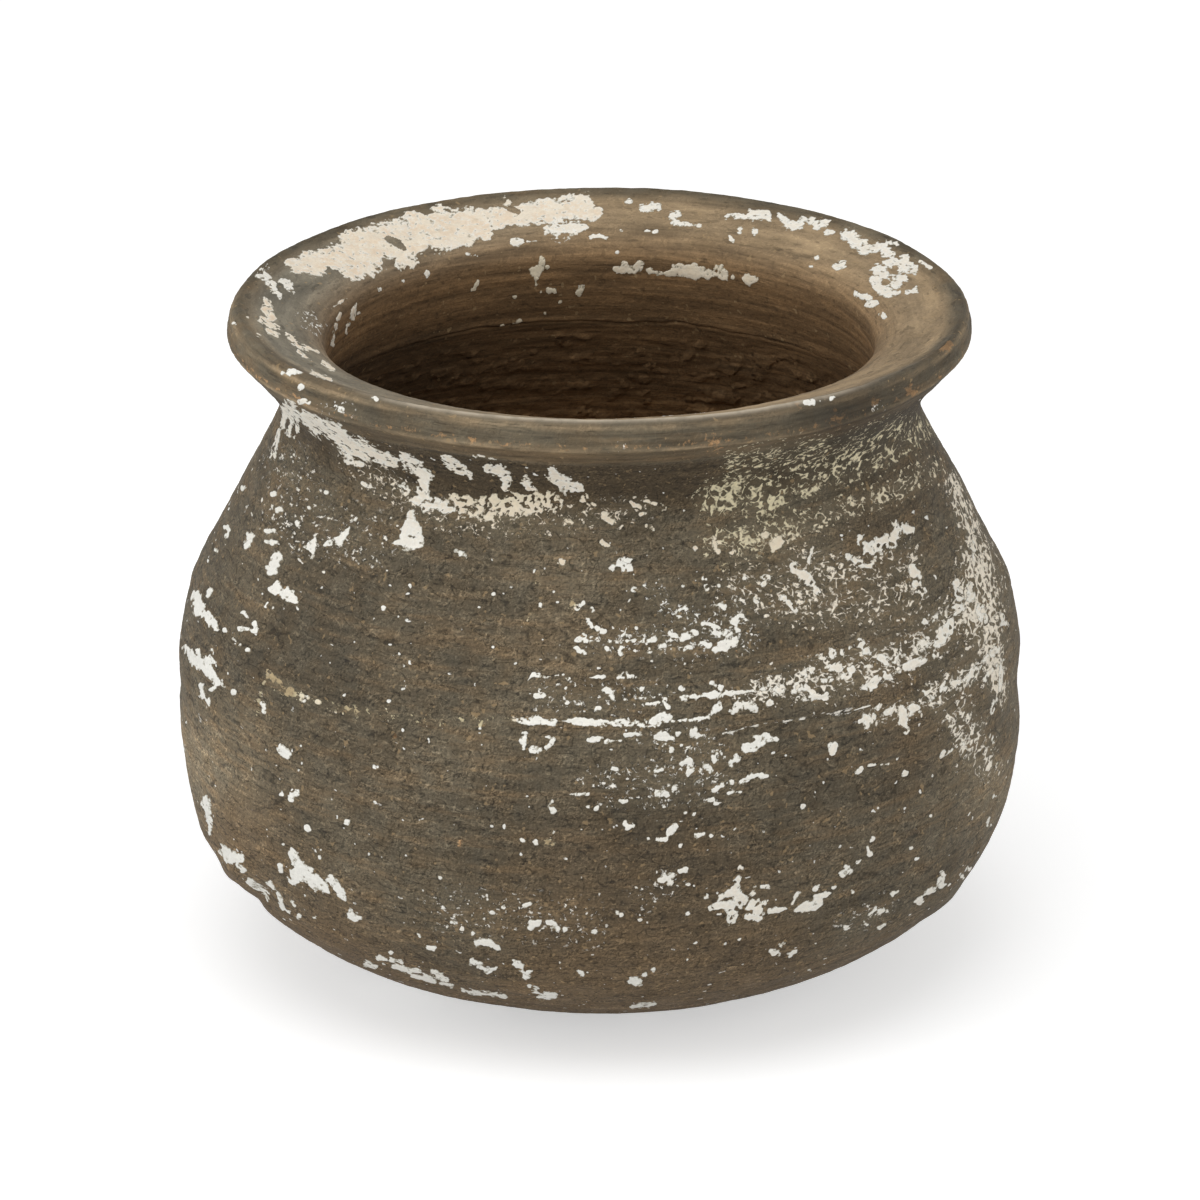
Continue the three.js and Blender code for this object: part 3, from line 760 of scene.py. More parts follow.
MOUTH_LIMEWASH = {
    "great patch": (FLAKE, 1.0, 0.9, [
        [(288, 262, 4), (300, 265, 10), (318, 262, 13)], [(335, 257, 14), (355, 257, 21), (368, 250, 21)],
        [(352, 272, 9)], [(345, 237, 6), (385, 241, 18), (410, 240, 21)], [(400, 262, 7), (412, 262, 7)],
        [(415, 226, 14), (440, 229, 21), (462, 227, 20)], [(480, 223, 13), (487, 235, 5)],
        [(480, 213, 6), (500, 215, 8)], [(497, 219, 9), (530, 213, 11), (560, 209, 13), (585, 206, 11)],
        [(590, 214, 8), (600, 210, 4)], [(508, 202, 5)],
    ]),
    "holes in the great patch": (FLAKE, 0.0, 0.9, [
        [(388, 238, 3), (398, 243, 4), (404, 248, 2.5)], [(510, 208, 3), (518, 211, 3)],
    ]),
    "pieces below it": (FLAKE, 0.98, 0.6, [
        [(548, 229, 4), (560, 229, 7), (575, 227, 7), (585, 226, 4)], [(514, 242, 4), (522, 242, 3)],
        [(528, 241, 2), (536, 240, 1.5)], [(427, 274, 3)], [(403, 281, 2)], [(380, 290, 2)],
        [(468, 254, 2), (478, 256, 2)], [(590, 237, 2), (599, 235, 3), (606, 238, 2)], [(617, 252, 2.5)],
    ]),
    "left shreds": (FLAKE, 0.88, 0.4, [
        [(262, 275, 5), (270, 282, 5), (275, 290, 4), (280, 297, 2)],
        [(283, 280, 3), (288, 287, 4), (293, 293, 2)],
    ]),
    "left shreds, cream": (FLAKE, 0.88, 1.0, [
        [(265, 302, 4), (268, 310, 6), (272, 318, 5)], [(262, 320, 4), (270, 326, 4), (278, 328, 2)],
        [(268, 332, 3), (277, 336, 2)], [(287, 336, 2), (300, 345, 3), (317, 353, 2)],
        [(322, 362, 2), (332, 370, 2)], [(312, 373, 2), (322, 378, 2), (330, 380, 1.5)],
        [(298, 352, 1), (312, 362, 1)], [(258, 336, 2)], [(247, 318, 2)],
    ]),
    "left film": (SPECKS, 0.4, 0.2, [
        [(306, 318, 8), (318, 326, 8)], [(555, 237, 4), (565, 240, 4)], [(265, 268, 6)],
    ]),
    "throat, left streaks": (FLAKE, 0.9, 1.0, [
        [(357, 304, 1.5), (352, 318, 2.5)], [(349, 322, 1.5), (346, 333, 1.5)],
        [(346, 298, 2), (332, 308, 1.5)], [(342, 312, 2), (338, 320, 1.5)],
        [(336, 325, 2), (333, 345, 1.5)], [(360, 313, 1.5)],
    ]),
    "throat, crumbs": (FLAKE, 1.0, 1.4, [
        [(543, 258, 2.5), (542, 266, 3), (537, 273, 3.5), (536, 285, 2.5)], [(533, 271, 3)],
        [(547, 268, 2)], [(478, 281, 1), (474, 290, 2)], [(548, 291, 2.5), (554, 291, 2)],
        [(541, 292, 1.5)], [(515, 298, 2)], [(582, 288, 2), (579, 294, 2.5)], [(560, 302, 2)],
        [(545, 314, 1.5)], [(515, 325, 2), (521, 321, 2)], [(503, 327, 2)],
    ]),
    "throat edge": (FLAKE, 0.97, 1.2, [
        [(616, 270, 3), (625, 267, 5), (634, 273, 4), (640, 264, 3)], [(650, 272, 4), (660, 274, 3)],
        [(667, 273, 4), (680, 270, 6), (692, 271, 6), (706, 274, 6), (713, 275, 4)],
        [(720, 268, 5), (723, 277, 5)], [(733, 278, 2.5)], [(748, 280, 5), (756, 280, 3)],
    ]),
    "far flare": (FLAKE, 0.97, 0.5, [
        [(629, 201, 3)], [(642, 209, 3), (652, 206, 5), (659, 207, 3)], [(671, 217, 4), (678, 215, 3)],
        [(674, 223, 4), (680, 224, 2)], [(683, 223, 1.5), (700, 226, 1.5)],
        [(728, 216, 3), (735, 215, 4), (745, 216, 3)], [(751, 214, 5), (765, 214, 5), (770, 219, 3)],
        [(779, 215, 3), (784, 219, 6)], [(790, 225, 5), (800, 225, 5)], [(803, 218, 3), (810, 220, 4)],
        [(817, 225, 4), (826, 222, 3)], [(828, 232, 3), (833, 233, 2)], [(740, 230, 3)],
        [(755, 231, 2.5)], [(729, 235, 1.5), (733, 241, 2)], [(817, 257, 3)], [(810, 266, 2.5)],
        [(622, 231, 1.5)], [(645, 231, 1.5), (657, 231, 1.5)],
    ]),
    "right flare": (FLAKE, 0.93, 0.5, [
        [(843, 236, 4), (850, 235, 7), (858, 243, 8), (865, 248, 7)],
        [(872, 250, 5), (880, 247, 6), (892, 256, 6)], [(893, 262, 8), (905, 265, 9), (914, 269, 6)],
        [(880, 275, 9), (875, 285, 5), (885, 290, 7)], [(895, 282, 6), (905, 278, 4)],
        [(884, 297, 3), (898, 293, 3)], [(907, 292, 3), (915, 290, 3)], [(886, 242, 2), (897, 245, 2)],
        [(836, 266, 3), (843, 265, 4)], [(857, 293, 4), (862, 296, 4), (869, 297, 3)],
        [(870, 305, 4), (876, 302, 3)], [(882, 314, 2), (884, 318, 2)], [(920, 262, 2), (930, 267, 2)],
    ]),
    "holes in the right flare": (FLAKE, 0.0, 0.5, [[(885, 282, 3.5)], [(895, 268, 3)]]),
}


# Width in pixels at which a flake's edge is as ragged as the flake is wide
FRAY = 2.0


class Cover:
    """What is left of the limewash over a field of places."""

    def __init__(self, shape):
        self.flake = np.full(shape, -2, dtype=np.float32)
        self.solid = np.ones(shape, dtype=np.float32)
        self.specks = np.zeros(shape, dtype=np.float32)
        self.streaks = np.zeros(shape, dtype=np.float32)
        self.tint = np.zeros(shape, dtype=np.float32)
        self.weight = np.full(shape, 0.05, dtype=np.float32)

    def add(self, where, kind, left, tint, near, half_width):
        """near is 1 on the patch's middle line, 0 on its edge and less than 0 outside it.

        A flake of which nothing is left is a hole in the flakes before it.
        """
        if kind == FLAKE:
            inward = near * np.sqrt(half_width / FRAY)
            ahead = inward > (self.flake[where] if left else 0)
            self.flake[where] = np.where(ahead, inward if left else -inward, self.flake[where])
            self.solid[where] = np.where(ahead, left, self.solid[where])
        else:
            field = self.specks if kind == SPECKS else self.streaks
            field[where] = np.maximum(field[where], left * ramp(near, -0.5, 0.6))
        share = ramp(near, -0.9, 0.3)
        self.tint[where] += share * tint
        self.weight[where] += share

    def seen_in_photo(self, u, v, seen, patches):
        for kind, left, tint, strokes in patches.values():
            for stroke in strokes:
                where, near, half_width = self.along(u, v, seen, stroke)
                self.add(where, kind, left, tint, near, half_width)

    @staticmethod
    def along(u, v, seen, stroke):
        """Where a stroke may show, how near its middle line each place lies, and its half width there."""
        x, y, w = np.array(stroke, dtype=float).T
        reach_out = 2 * w.max()
        where = seen & (u > x.min() - reach_out) & (u < x.max() + reach_out)
        where &= (v > y.min() - reach_out) & (v < y.max() + reach_out)
        at = np.stack([u[where], v[where]], axis=-1)
        near = np.full(len(at), -2.0)
        half_width = np.full(len(at), w.max())
        ends = list(zip(stroke, stroke[1:])) or [(stroke[0], stroke[0])]
        for (xa, ya, wa), (xb, yb, wb) in ends:
            run = np.array([xb - xa, yb - ya], dtype=float)
            t = np.clip((at - (xa, ya)) @ run / max(run @ run, 1e-9), 0, 1)
            away = np.linalg.norm(at - (xa, ya) - t[:, None] * run, axis=1)
            half = wa + (wb - wa) * t
            half_width = np.where(1 - away / half > near, half, half_width)
            near = np.maximum(near, 1 - away / half)
        return where, near, half_width

    def thinned(self, share):
        """Leave that share of what is there."""
        self.flake -= 2.5 * (1 - share)
        self.specks *= share
        self.streaks *= share

    def out_of_sight(self, s, theta, hidden, patches):
        radius = np.interp(s, length, path[:, 0])
        for kind, left, tint, at_s, at_theta, tall, wide in patches:
            off = np.abs((theta - at_theta + math.pi) % (2 * math.pi) - math.pi)
            row = np.nonzero(np.abs(s - at_s) < 2 * tall)[0]
            column = np.nonzero(off * np.interp(at_s, length, path[:, 0]) < 2 * wide)[0]
            i, j = np.nonzero(hidden[np.ix_(row, column)] > 0)
            i, j = row[i], column[j]
            away = np.hypot((s[i] - at_s) / tall, off[j] * radius[i] / wide)
            near = 1 - away - 2 * (1 - hidden[i, j])
            self.add((i, j), kind, left, tint, near, min(tall, wide) * FOCAL / DISTANCE)


# Remnants on the sides that the photograph doesn't show, scattered in the same manner
SCATTER_SEED = 7
BACK_FROM, BACK_TO = math.radians(-8), math.radians(188)
scatter = np.random.default_rng(SCATTER_SEED)


def strewn(count, kinds, s_range, theta_range, tall_range, wide_range, left_range, tints):
    """Remnants, each a cluster of a few oval places of its own size."""
    made = []
    for _ in range(count):
        kind = kinds[scatter.integers(len(kinds))]
        at_s = scatter.uniform(*s_range)
        at_theta = scatter.uniform(*theta_range)
        tall = scatter.uniform(*tall_range)
        wide = tall * scatter.uniform(*wide_range)
        left = scatter.uniform(*left_range)
        tint = scatter.uniform(*tints)
        radius = np.interp(at_s, length, path[:, 0])
        for _ in range(scatter.integers(3, 8)):
            up = at_s + scatter.normal(0, 0.6) * tall
            along = at_theta + scatter.normal(0, 0.7) * wide / radius
            oval_tall = tall * scatter.uniform(0.25, 0.75)
            oval_wide = wide / tall * oval_tall * scatter.uniform(0.6, 1.5)
            made.append((kind, left, tint, up, along, oval_tall, oval_wide))
    return made


back = (BACK_FROM, BACK_TO)
front = (math.pi, 2 * math.pi)
body_s = (outer_s(12), outer_s(NECK_SEAM_Z))
belly_s = (outer_s(SEAM_Z - 12), outer_s(SEAM_Z + 14))
neck_s = (outer_s(SHOULDER_Z - 12), outer_s(HOLLOW_Z - 6))
flare_s = (CREST_S + 7, CREST_S + 26)
throat_s = (CREST_S + 24, CREST_S + 50)
# Number, kinds, places along the path and round the pot, height, width for that height, what is left, tint
SCATTERED = (
    (34, [SPECKS], body_s, back, (9, 22), (1.0, 2.2), (0.2, 0.5), (0.1, 0.9)),
    (46, [FLAKE], body_s, back, (1.2, 5.0), (0.7, 2.2), (0.85, 1.0), (0, 0.5)),
    (22, [STREAKS, FLAKE], belly_s, back, (1.6, 3.6), (4, 12), (0.5, 0.9), (0, 0.6)),
    (16, [FLAKE, SPECKS], neck_s, back, (3, 9), (1.2, 3.0), (0.6, 0.9), (0.4, 1.1)),
    (12, [FLAKE], flare_s, front, (2, 7), (1.0, 4.0), (0.85, 0.97), (0.4, 0.9)),
    (10, [FLAKE, STREAKS], throat_s, front, (1.2, 3.0), (0.7, 2.0), (0.8, 1.0), (0.5, 1.0)),
)
hidden_remnants = [remnant for group in SCATTERED for remnant in strewn(*group)]


# How far the patches at the edge of the photograph's view go on round the pot
OVERRUN = math.radians(55)


def carried_round(u, v, seen, theta):
    """Pixels for the patches, carried past the view's edge as in a mirror, and the share that is left."""
    angle = from_front(theta)
    order = np.argsort(angle)
    left = np.ones(u.shape)
    u, v = u.copy(), v.copy()
    for row in np.nonzero(seen.any(axis=1))[0]:
        edge = np.abs(angle[seen[row]]).max()
        past = np.abs(angle) > edge
        mirrored = np.sign(angle) * (2 * edge - np.abs(angle))
        for field in (u, v):
            field[row, past] = np.interp(mirrored, angle[order], field[row, order])[past]
        left[row] = ramp(edge + OVERRUN - np.abs(angle), 0, OVERRUN)
    return u, v, left


def limewash(s, theta):
    points, normals = skin(s, theta)
    u, v = pixels(points)
    turned_to = facing(points, normals)
    outer = (s <= CREST_S)[:, None]
    seen = turned_to > 0.0
    cover = Cover(u.shape)
    outside_u, outside_v, left = carried_round(u, v, seen & outer, theta)
    cover.seen_in_photo(outside_u, outside_v, outer & (left > 0), OUTSIDE_LIMEWASH)
    cover.thinned(left)
    cover.seen_in_photo(u, v, seen & ~outer, MOUTH_LIMEWASH)
    cover.out_of_sight(s, theta, ramp(-turned_to, -0.12, 0.2), hidden_remnants)
    return cover, points, normals


# Rings of points for the clay pieces
def rows(start, end, step):
    return np.linspace(start, end, max(2, int(round(abs(end - start) / step)) + 1))


def new_object(name, vertices, faces, normals):
    mesh = bpy.data.meshes.new(name)
    mesh.from_pydata(vertices * MM, [], faces)
    mesh.update()
    mesh.polygons.foreach_set("use_smooth", np.ones(len(mesh.polygons), dtype=bool))
    mesh.normals_split_custom_set_from_vertices(normals)
    obj = bpy.data.objects.new(name, mesh)
    bpy.context.collection.objects.link(obj)
    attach(obj, "root")
    return obj


def store(obj, name, values):
    if values.ndim == 1:
        attribute = obj.data.attributes.new(name, "FLOAT", "POINT")
        attribute.data.foreach_set("value", np.ascontiguousarray(values, dtype=np.float32))
    else:
        attribute = obj.data.attributes.new(name, "FLOAT_VECTOR", "POINT")
        attribute.data.foreach_set("vector", np.ascontiguousarray(values, dtype=np.float32).ravel())


# Where the near side of the crest carries a painted highlight, in pixels across the photograph
HIGHLIGHT_LEFT, HIGHLIGHT_LEFT_FADE = 330, 100
HIGHLIGHT_RIGHT, HIGHLIGHT_RIGHT_FADE = 930, 130

# Where the clay's tone, the painted shade under the lip and the painted light and shade inside change:
# heights, and lengths along the path from the crest inwards
NECK_SHADE_LOW_Z, NECK_SHADE_HIGH_Z = 199, 210
WARM_BELOW_Z = 190
INSIDE_LIGHT_Z, INSIDE_LIGHT_FADE = 175, 25
INSIDE_SHADE_Z, INSIDE_SHADE_FADE = 212, 12
FLARE_BEGINS = (1, 9)
THROAT_BEGINS = (17, 42)

CLAY_MARKS = (
    "flare", "turned", "throat", "ash", "neck_dark_and_shade", "warm", "paler_and_lit", "bare", "wear_and_highlight", "crest",
    "specks", "streaks", "tint",
)


def tone_and_painted_light(points, normals, outer):
    """How much paler and how much warmer the clay is, painted sheen and painted shade included."""
    u, v = pixels(points)
    seen = outer * ramp(facing(points, normals), -0.2, 0.05)
    paler_and_lit = 0
    warmer = 0
    for across, down, size, light, warm in TONE_AND_LIGHT_SPOTS.values():
        near = seen * np.exp(-((u - across) ** 2 + (v - down) ** 2) / size ** 2)
        paler_and_lit = paler_and_lit + light * near
        warmer = warmer + warm * near
    return paler_and_lit, warmer


def visible(s, theta):
    """Rings of the real skin, with what the clay's material needs to know at each point."""
    real, normals = wall(s, theta)
    cover, points, true_normals = limewash(s, theta)
    z = points[..., 2]
    outer = (s <= CREST_S)[:, None]
    paler_and_lit, warmer = tone_and_painted_light(points, true_normals, outer)
    past_crest = np.maximum(s - CREST_S, 0)[:, None] + 0 * z
    # Worn clay with painted highlight along the lip's lower edge and just below the crest
    lip_wear_and_highlight = np.exp(-((s - outer_s(LIP_Z)) / 0.9) ** 2) + 0.8 * np.exp(-((s - CREST_S + 3.2) / 1.0) ** 2)
    across = pixels(points)[0]
    # Painted highlight along the near side of the crest
    crest = np.exp(-((s - CREST_S + 0.2) / 1.2) ** 2)[:, None] * ramp(-points[..., 1], 60, 110)
    crest = crest * ramp(across, HIGHLIGHT_LEFT, HIGHLIGHT_LEFT + HIGHLIGHT_LEFT_FADE)
    crest = crest * ramp(HIGHLIGHT_RIGHT - across, 0, HIGHLIGHT_RIGHT_FADE)
    scuffed = 0.3 * np.exp(-((s - outer_s(LIP_Z) - 1.6) / 1.6) ** 2)[:, None]
    bevel = ramp(z, HOLLOW_Z - 2, HOLLOW_Z) * ramp(LIP_Z - z, -0.2, 0.6)
    warmth = 0.55 - z / WARM_BELOW_Z + 1.5 * (noise(points, 45, 20) - 0.5) + warmer + bevel
    # Painted light low inside the pot and painted shade on the left of the inside
    deep_light = 0.5 * ramp(INSIDE_LIGHT_Z - z, 0, INSIDE_LIGHT_FADE)
    left_shade = 0.5 * ramp(-points[..., 0], 0, 90) * ramp(INSIDE_SHADE_Z - z, 0, INSIDE_SHADE_FADE)
    marks = {
        "flare": ramp(past_crest, *FLARE_BEGINS),
        "turned": np.where(outer, ramp(z, HOLLOW_Z - 3, HOLLOW_Z), 1),
        "throat": ramp(past_crest, *THROAT_BEGINS),
        "ash": ramp(-points[..., 0], -10, 110) * ramp(past_crest, *FLARE_BEGINS),
        # Darker clay and painted shade in the hollow under the lip
        "neck_dark_and_shade": outer * ramp(z, NECK_SHADE_LOW_Z, NECK_SHADE_HIGH_Z) * ramp(HOLLOW_Z - z, 0, 3),
        "warm": outer * np.clip(warmth, 0, 1),
        # Tone with painted sheen and shade from the table; inside, painted light low down and painted shade
        # on the left
        "paler_and_lit": paler_and_lit + ~outer * (deep_light - left_shade),
        "bare": np.maximum(damage(points, true_normals, outer)[1], scuffed),
        # Wear and painted highlight on the lip's edges
        "wear_and_highlight": lip_wear_and_highlight[:, None] + 0 * z,
        # Painted highlight on the near side of the crest
        "crest": crest,
        "specks": cover.specks,
        "streaks": cover.streaks,
        "tint": cover.tint / cover.weight,
    }
    return real, normals, marks, flattened(s[:, None], theta[None, :])


def buried(rings, theta):
    """Rings of the faces that the neighbouring pieces cover."""
    points = np.stack([
        np.stack([r * np.cos(theta), r * np.sin(theta), np.full_like(theta, z)], axis=-1) for r, z in rings
    ])
    normals = np.zeros_like(points)
    normals[..., 2] = 1
    return points, normals, {name: np.zeros(points.shape[:2]) for name in CLAY_MARKS}, points


clay_pieces = []


def clay(name, node, theta, blocks, poles=None):
    """A closed piece from blocks of rings, in order round its section."""
    columns = len(theta)
    points = np.concatenate([block[0] for block in blocks])
    normals = np.concatenate([block[1] for block in blocks]).reshape(-1, 3)
    count = len(points)
    across = np.arange(columns)
    after = (across + 1) % columns
    faces = []
    for row in range(count - 1 if poles else count):
        low = row * columns
        high = ((row + 1) % count) * columns
        faces.append(np.stack([low + across, low + after, high + after, high + across], axis=1))
    faces = np.concatenate(faces).tolist()
    vertices = points.reshape(-1, 3)
    if poles:
        start, end = count * columns, count * columns + 1
        vertices = np.concatenate([vertices, poles])
        normals = np.concatenate([normals, [(0, 0, -1), (0, 0, 1)]])
        last = (count - 1) * columns
        faces += np.stack([np.full(columns, start), after, across], axis=1).tolist()
        faces += np.stack([np.full(columns, end), last + across, last + after], axis=1).tolist()
    obj = new_object(name, vertices, faces, normals)
    for mark in CLAY_MARKS:
        values = np.concatenate([block[2][mark] for block in blocks]).ravel()
        store(obj, mark, np.concatenate([values, np.zeros(2)]) if poles else values)
    flat = np.concatenate([block[3] for block in blocks]).reshape(-1, 3)
    store(obj, "flat", np.concatenate([flat, poles]) if poles else flat)
    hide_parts(node)
    clay_pieces.append(obj)


BODY_COLUMNS = 520
MOUTH_COLUMNS = 640
FOOT_EDGE_Z = 2
SCARF_STEP = 1.0
around = np.linspace(0, 2 * math.pi, BODY_COLUMNS, endpoint=False)
round_mouth = np.linspace(0, 2 * math.pi, MOUTH_COLUMNS, endpoint=False)
strip_low_s, strip_high_s = outer_s(STRIP_LOW_Z), outer_s(STRIP_HIGH_Z)
neck_seam_s, lip_seam_s, lip_inner_s = outer_s(NECK_SEAM_Z), outer_s(LIP_SEAM_Z), inner_s(LIP_INNER_Z)
neck_coil_high_s, neck_coil_low_s = inner_s(NECK_COIL_HIGH_Z), inner_s(NECK_COIL_LOW_Z)
belly_coil_high_s, belly_coil_low_s = inner_s(BELLY_COIL_HIGH_Z), inner_s(BELLY_COIL_LOW_Z)
groove = (float(np.interp(strip_low_s, length, path[:, 0])) - STRIP_DEPTH, SEAM_Z)
belly_scarf = (inner_seam[0][0] - SCARF_STEP, SEAM_Z + BELLY_SCARF)
neck_scarf = (shoulder_radius - SHOULDER_WALL + SCARF_STEP, NECK_SEAM_Z + NECK_SCARF)


def lifted(ring, out, up):
    return ring[0] + out, ring[1] + up


bowl_out_rows = np.concatenate([
    rows(0, outer_s(FOOT_EDGE_Z), 5)[1:],
    rows(outer_s(FOOT_EDGE_Z), outer_s(HEEL_Z), 2.0)[1:],
    rows(outer_s(HEEL_Z), strip_low_s, 1.4)[1:],
])
clay("lower_bowl_clay", "lower_bowl", around, [
    visible(bowl_out_rows, around),
    buried([groove, belly_scarf], around),
    visible(rows(belly_coil_low_s, END_S, 4.5)[:-1], around),
], poles=[(0, 0, 0), (0, 0, BASE_WALL)])
clay("belly_seam_strip_clay", "belly_seam_strip", around, [
    visible(rows(strip_low_s, strip_high_s, 0.5), around),
    buried([lifted(groove, 2 * SLIP, SLIP / 2)], around),
])
clay("shoulder_wall_clay", "shoulder_wall", round_mouth, [
    visible(rows(strip_high_s, neck_seam_s, 0.9), round_mouth),
    buried([lifted(neck_scarf, 0, -SLIP)], round_mouth),
    visible(rows(neck_coil_low_s, belly_coil_high_s, 1.2), round_mouth),
    buried([lifted(belly_scarf, 0, SLIP), lifted(groove, 0, SLIP)], round_mouth),
])
clay("belly_seam_coil_clay", "belly_seam_coil", around, [
    visible(rows(belly_coil_high_s, belly_coil_low_s, 0.9), around),
    buried([lifted(belly_scarf, -SLIP, 0)], around),
])
clay("neck_collar_clay", "neck_collar", round_mouth, [
    visible(rows(neck_seam_s, lip_seam_s, 0.7), round_mouth),
    visible(rows(lip_inner_s, neck_coil_high_s, 0.8), round_mouth),
    buried([neck_scarf], round_mouth),
])
clay("rim_lip_clay", "rim_lip", round_mouth, [
    visible(rows(lip_seam_s, lip_inner_s, 0.4), round_mouth),
])
clay("neck_seam_coil_clay", "neck_seam_coil", round_mouth, [
    visible(rows(neck_coil_high_s, neck_coil_low_s, 0.5), round_mouth),
    buried([lifted(neck_scarf, -SLIP, 0)], round_mouth),
])

# Flakes of limewash, each a thin closed solid bedded in the clay
FLAKE_GRID = 0.47
FLAKE_THICK = 0.16
FLAKE_THIN = 0.03
FLAKE_BED = 0.3
LOWEST_FLAKES_Z = 3
FLAKES_INSIDE = 62
limewash_pieces = []


def grown(mask):
    """A mask with one more place on every side."""
    wider = mask | np.roll(mask, 1, axis=1) | np.roll(mask, -1, axis=1)
    wider[1:] |= mask[:-1]
    wider[:-1] |= mask[1:]
    return wider


class FlakeField:
    """A grid of places and how much limewash each has: above 0 inside a flake, below 0 outside."""

    def __init__(self, s):
        columns = int(2 * math.pi * np.interp(s, length, path[:, 0]).max() / FLAKE_GRID)
        theta = np.linspace(0, 2 * math.pi, columns, endpoint=False)
        cover, self.points, self.normals = limewash(s, theta)
        near_patch = grown(grown((cover.flake > -1) | (cover.streaks > 0.02)))
        row, column = np.nonzero(near_patch)
        flat = flattened(s[row], theta[column])
        ragged = 2.4 * (layered(flat, 3.4, 2, 30) - 0.5) + 2.0 * (layered(flat, 1.1, 2, 40) - 0.5)
        pores = evened(layered(flat, 1.3, 3, 50))
        dashes = evened(layered(lengthways(flat, 4), 0.8, 2, 60))
        solid = np.minimum(cover.flake[near_patch] + ragged, 2.2 * (cover.solid[near_patch] - pores))
        streaks = 0.5 * cover.streaks[near_patch] - dashes
        self.amount = np.full(near_patch.shape, -1.0)
        self.amount[near_patch] = np.maximum(0.8 * solid, 2.0 * streaks)
        self.amount[0] = self.amount[-1] = -1
        self.tint = cover.tint / cover.weight
        outer = np.broadcast_to((s <= CREST_S)[:, None], near_patch.shape)[near_patch]
        self.off = np.zeros(near_patch.shape)
        self.off[near_patch] = strays(self.points[near_patch], self.normals[near_patch], outer)
        self.start_from_inside()

    def start_from_inside(self):
        """Corners inside the flakes, above and in the clay, with their tint and amount."""
        inside = self.amount > 0
        height = FLAKE_THIN + FLAKE_THICK * ramp(self.amount, 0, 0.2)
        upper = self.points + self.normals * (self.off + height)[..., None]
        lower = self.points + self.normals * (self.off - FLAKE_BED)[..., None]
        self.tops = [upper[inside]]
        self.bottoms = [lower[inside]]
        self.facts = [np.stack([self.tint, self.amount], -1)[inside]]
        self.inside = inside
        self.index = np.full(inside.shape, -1)
        self.index[inside] = np.arange(inside.sum())
        self.count = int(inside.sum())

    def cut(self, near, far):
        """Corners where the rim of a flake crosses the grid's lines between two sets of places."""
        crossing = near(self.inside) != far(self.inside)
        numbers = np.full(crossing.shape, -1)
        numbers[crossing] = self.count + np.arange(crossing.sum())
        self.count += int(crossing.sum())
        a, b = near(self.amount)[crossing], far(self.amount)[crossing]
        t = np.clip(a / (a - b), 0.02, 0.98)

        def between(values):
            share = t[:, None] if values.ndim == 3 else t
            return near(values)[crossing] * (1 - share) + far(values)[crossing] * share

        rim, rim_normal, rim_off = between(self.points), between(self.normals), between(self.off)
        self.tops.append(rim + rim_normal * (rim_off + FLAKE_THIN)[:, None])
        self.bottoms.append(rim + rim_normal * (rim_off - FLAKE_BED)[:, None])
        self.facts.append(np.stack([between(self.tint), np.zeros(len(rim))], -1))
        return numbers


# Values on the grid as seen from each of its squares: at its corner, above it and beside it
def here(values):
    return values[:-1]


def above(values):
    return values[1:]


def beside(values):
    return np.roll(values, -1, axis=1)


def contoured(field):
    """Triangles that fill the flakes on the grid, and the stretches of their rims."""
    along_row = field.cut(lambda values: values, beside)
    up_column = field.cut(here, above)
    slanting = field.cut(here, lambda values: beside(above(values)))
    a, b = here(field.index), beside(here(field.index))
    c, d = beside(above(field.index)), above(field.index)
    row_low, row_high = here(along_row), above(along_row)
    halves = [(a, b, c, row_low, beside(up_column), slanting), (a, c, d, slanting, row_high, up_column)]
    triangles, rims = [], []
    for p0, p1, p2, e01, e12, e20 in halves:
        full = (p0 >= 0) & (p1 >= 0) & (p2 >= 0)
        triangles.append(np.stack([p0[full], p1[full], p2[full]], 1))
        for q0, q1, q2, f01, f12, f20 in (
            (p0, p1, p2, e01, e12, e20), (p1, p2, p0, e12, e20, e01), (p2, p0, p1, e20, e01, e12),
        ):
            two = (q0 >= 0) & (q1 >= 0) & (q2 < 0)
            triangles.append(np.stack([q0[two], q1[two], f12[two]], 1))
            triangles.append(np.stack([q0[two], f12[two], f20[two]], 1))
            rims.append(np.stack([f12[two], f20[two]], 1))
            one = (q0 >= 0) & (q1 < 0) & (q2 < 0)
            triangles.append(np.stack([q0[one], f01[one], f20[one]], 1))
            rims.append(np.stack([f01[one], f20[one]], 1))
    return np.concatenate(triangles), np.concatenate(rims)


def upright(points, triangles):
    """Normals at the points, from the triangles round each."""
    sides = points[triangles]
    leans = np.cross(sides[:, 1] - sides[:, 0], sides[:, 2] - sides[:, 0])
    normals = np.zeros_like(points)
    for corner in range(3):
        np.add.at(normals, triangles[:, corner], leans)
    return normals / np.maximum(np.linalg.norm(normals, axis=1, keepdims=True), 1e-12)


def flakes(name, start_s, end_s):
    """One piece of limewash: every flake between two places along the path."""
    field = FlakeField(rows(start_s, end_s + 2 * FLAKE_GRID, FLAKE_GRID))
    triangles, rims = contoured(field)
    under = triangles[:, ::-1] + field.count
    wall_1 = np.stack([rims[:, 1], rims[:, 0], rims[:, 0] + field.count], 1)
    wall_2 = np.stack([rims[:, 1], rims[:, 0] + field.count, rims[:, 1] + field.count], 1)
    faces = np.concatenate([triangles, under, wall_1, wall_2])
    tops = np.concatenate(field.tops)
    normals = upright(tops, triangles)
    vertices = np.concatenate([tops] + field.bottoms)
    facts = np.concatenate(field.facts + field.facts)
    obj = new_object(name, vertices, faces.tolist(), np.concatenate([normals, -normals]))
    store(obj, "tint", facts[:, 0])
    store(obj, "body", facts[:, 1])
    limewash_pieces.append(obj)


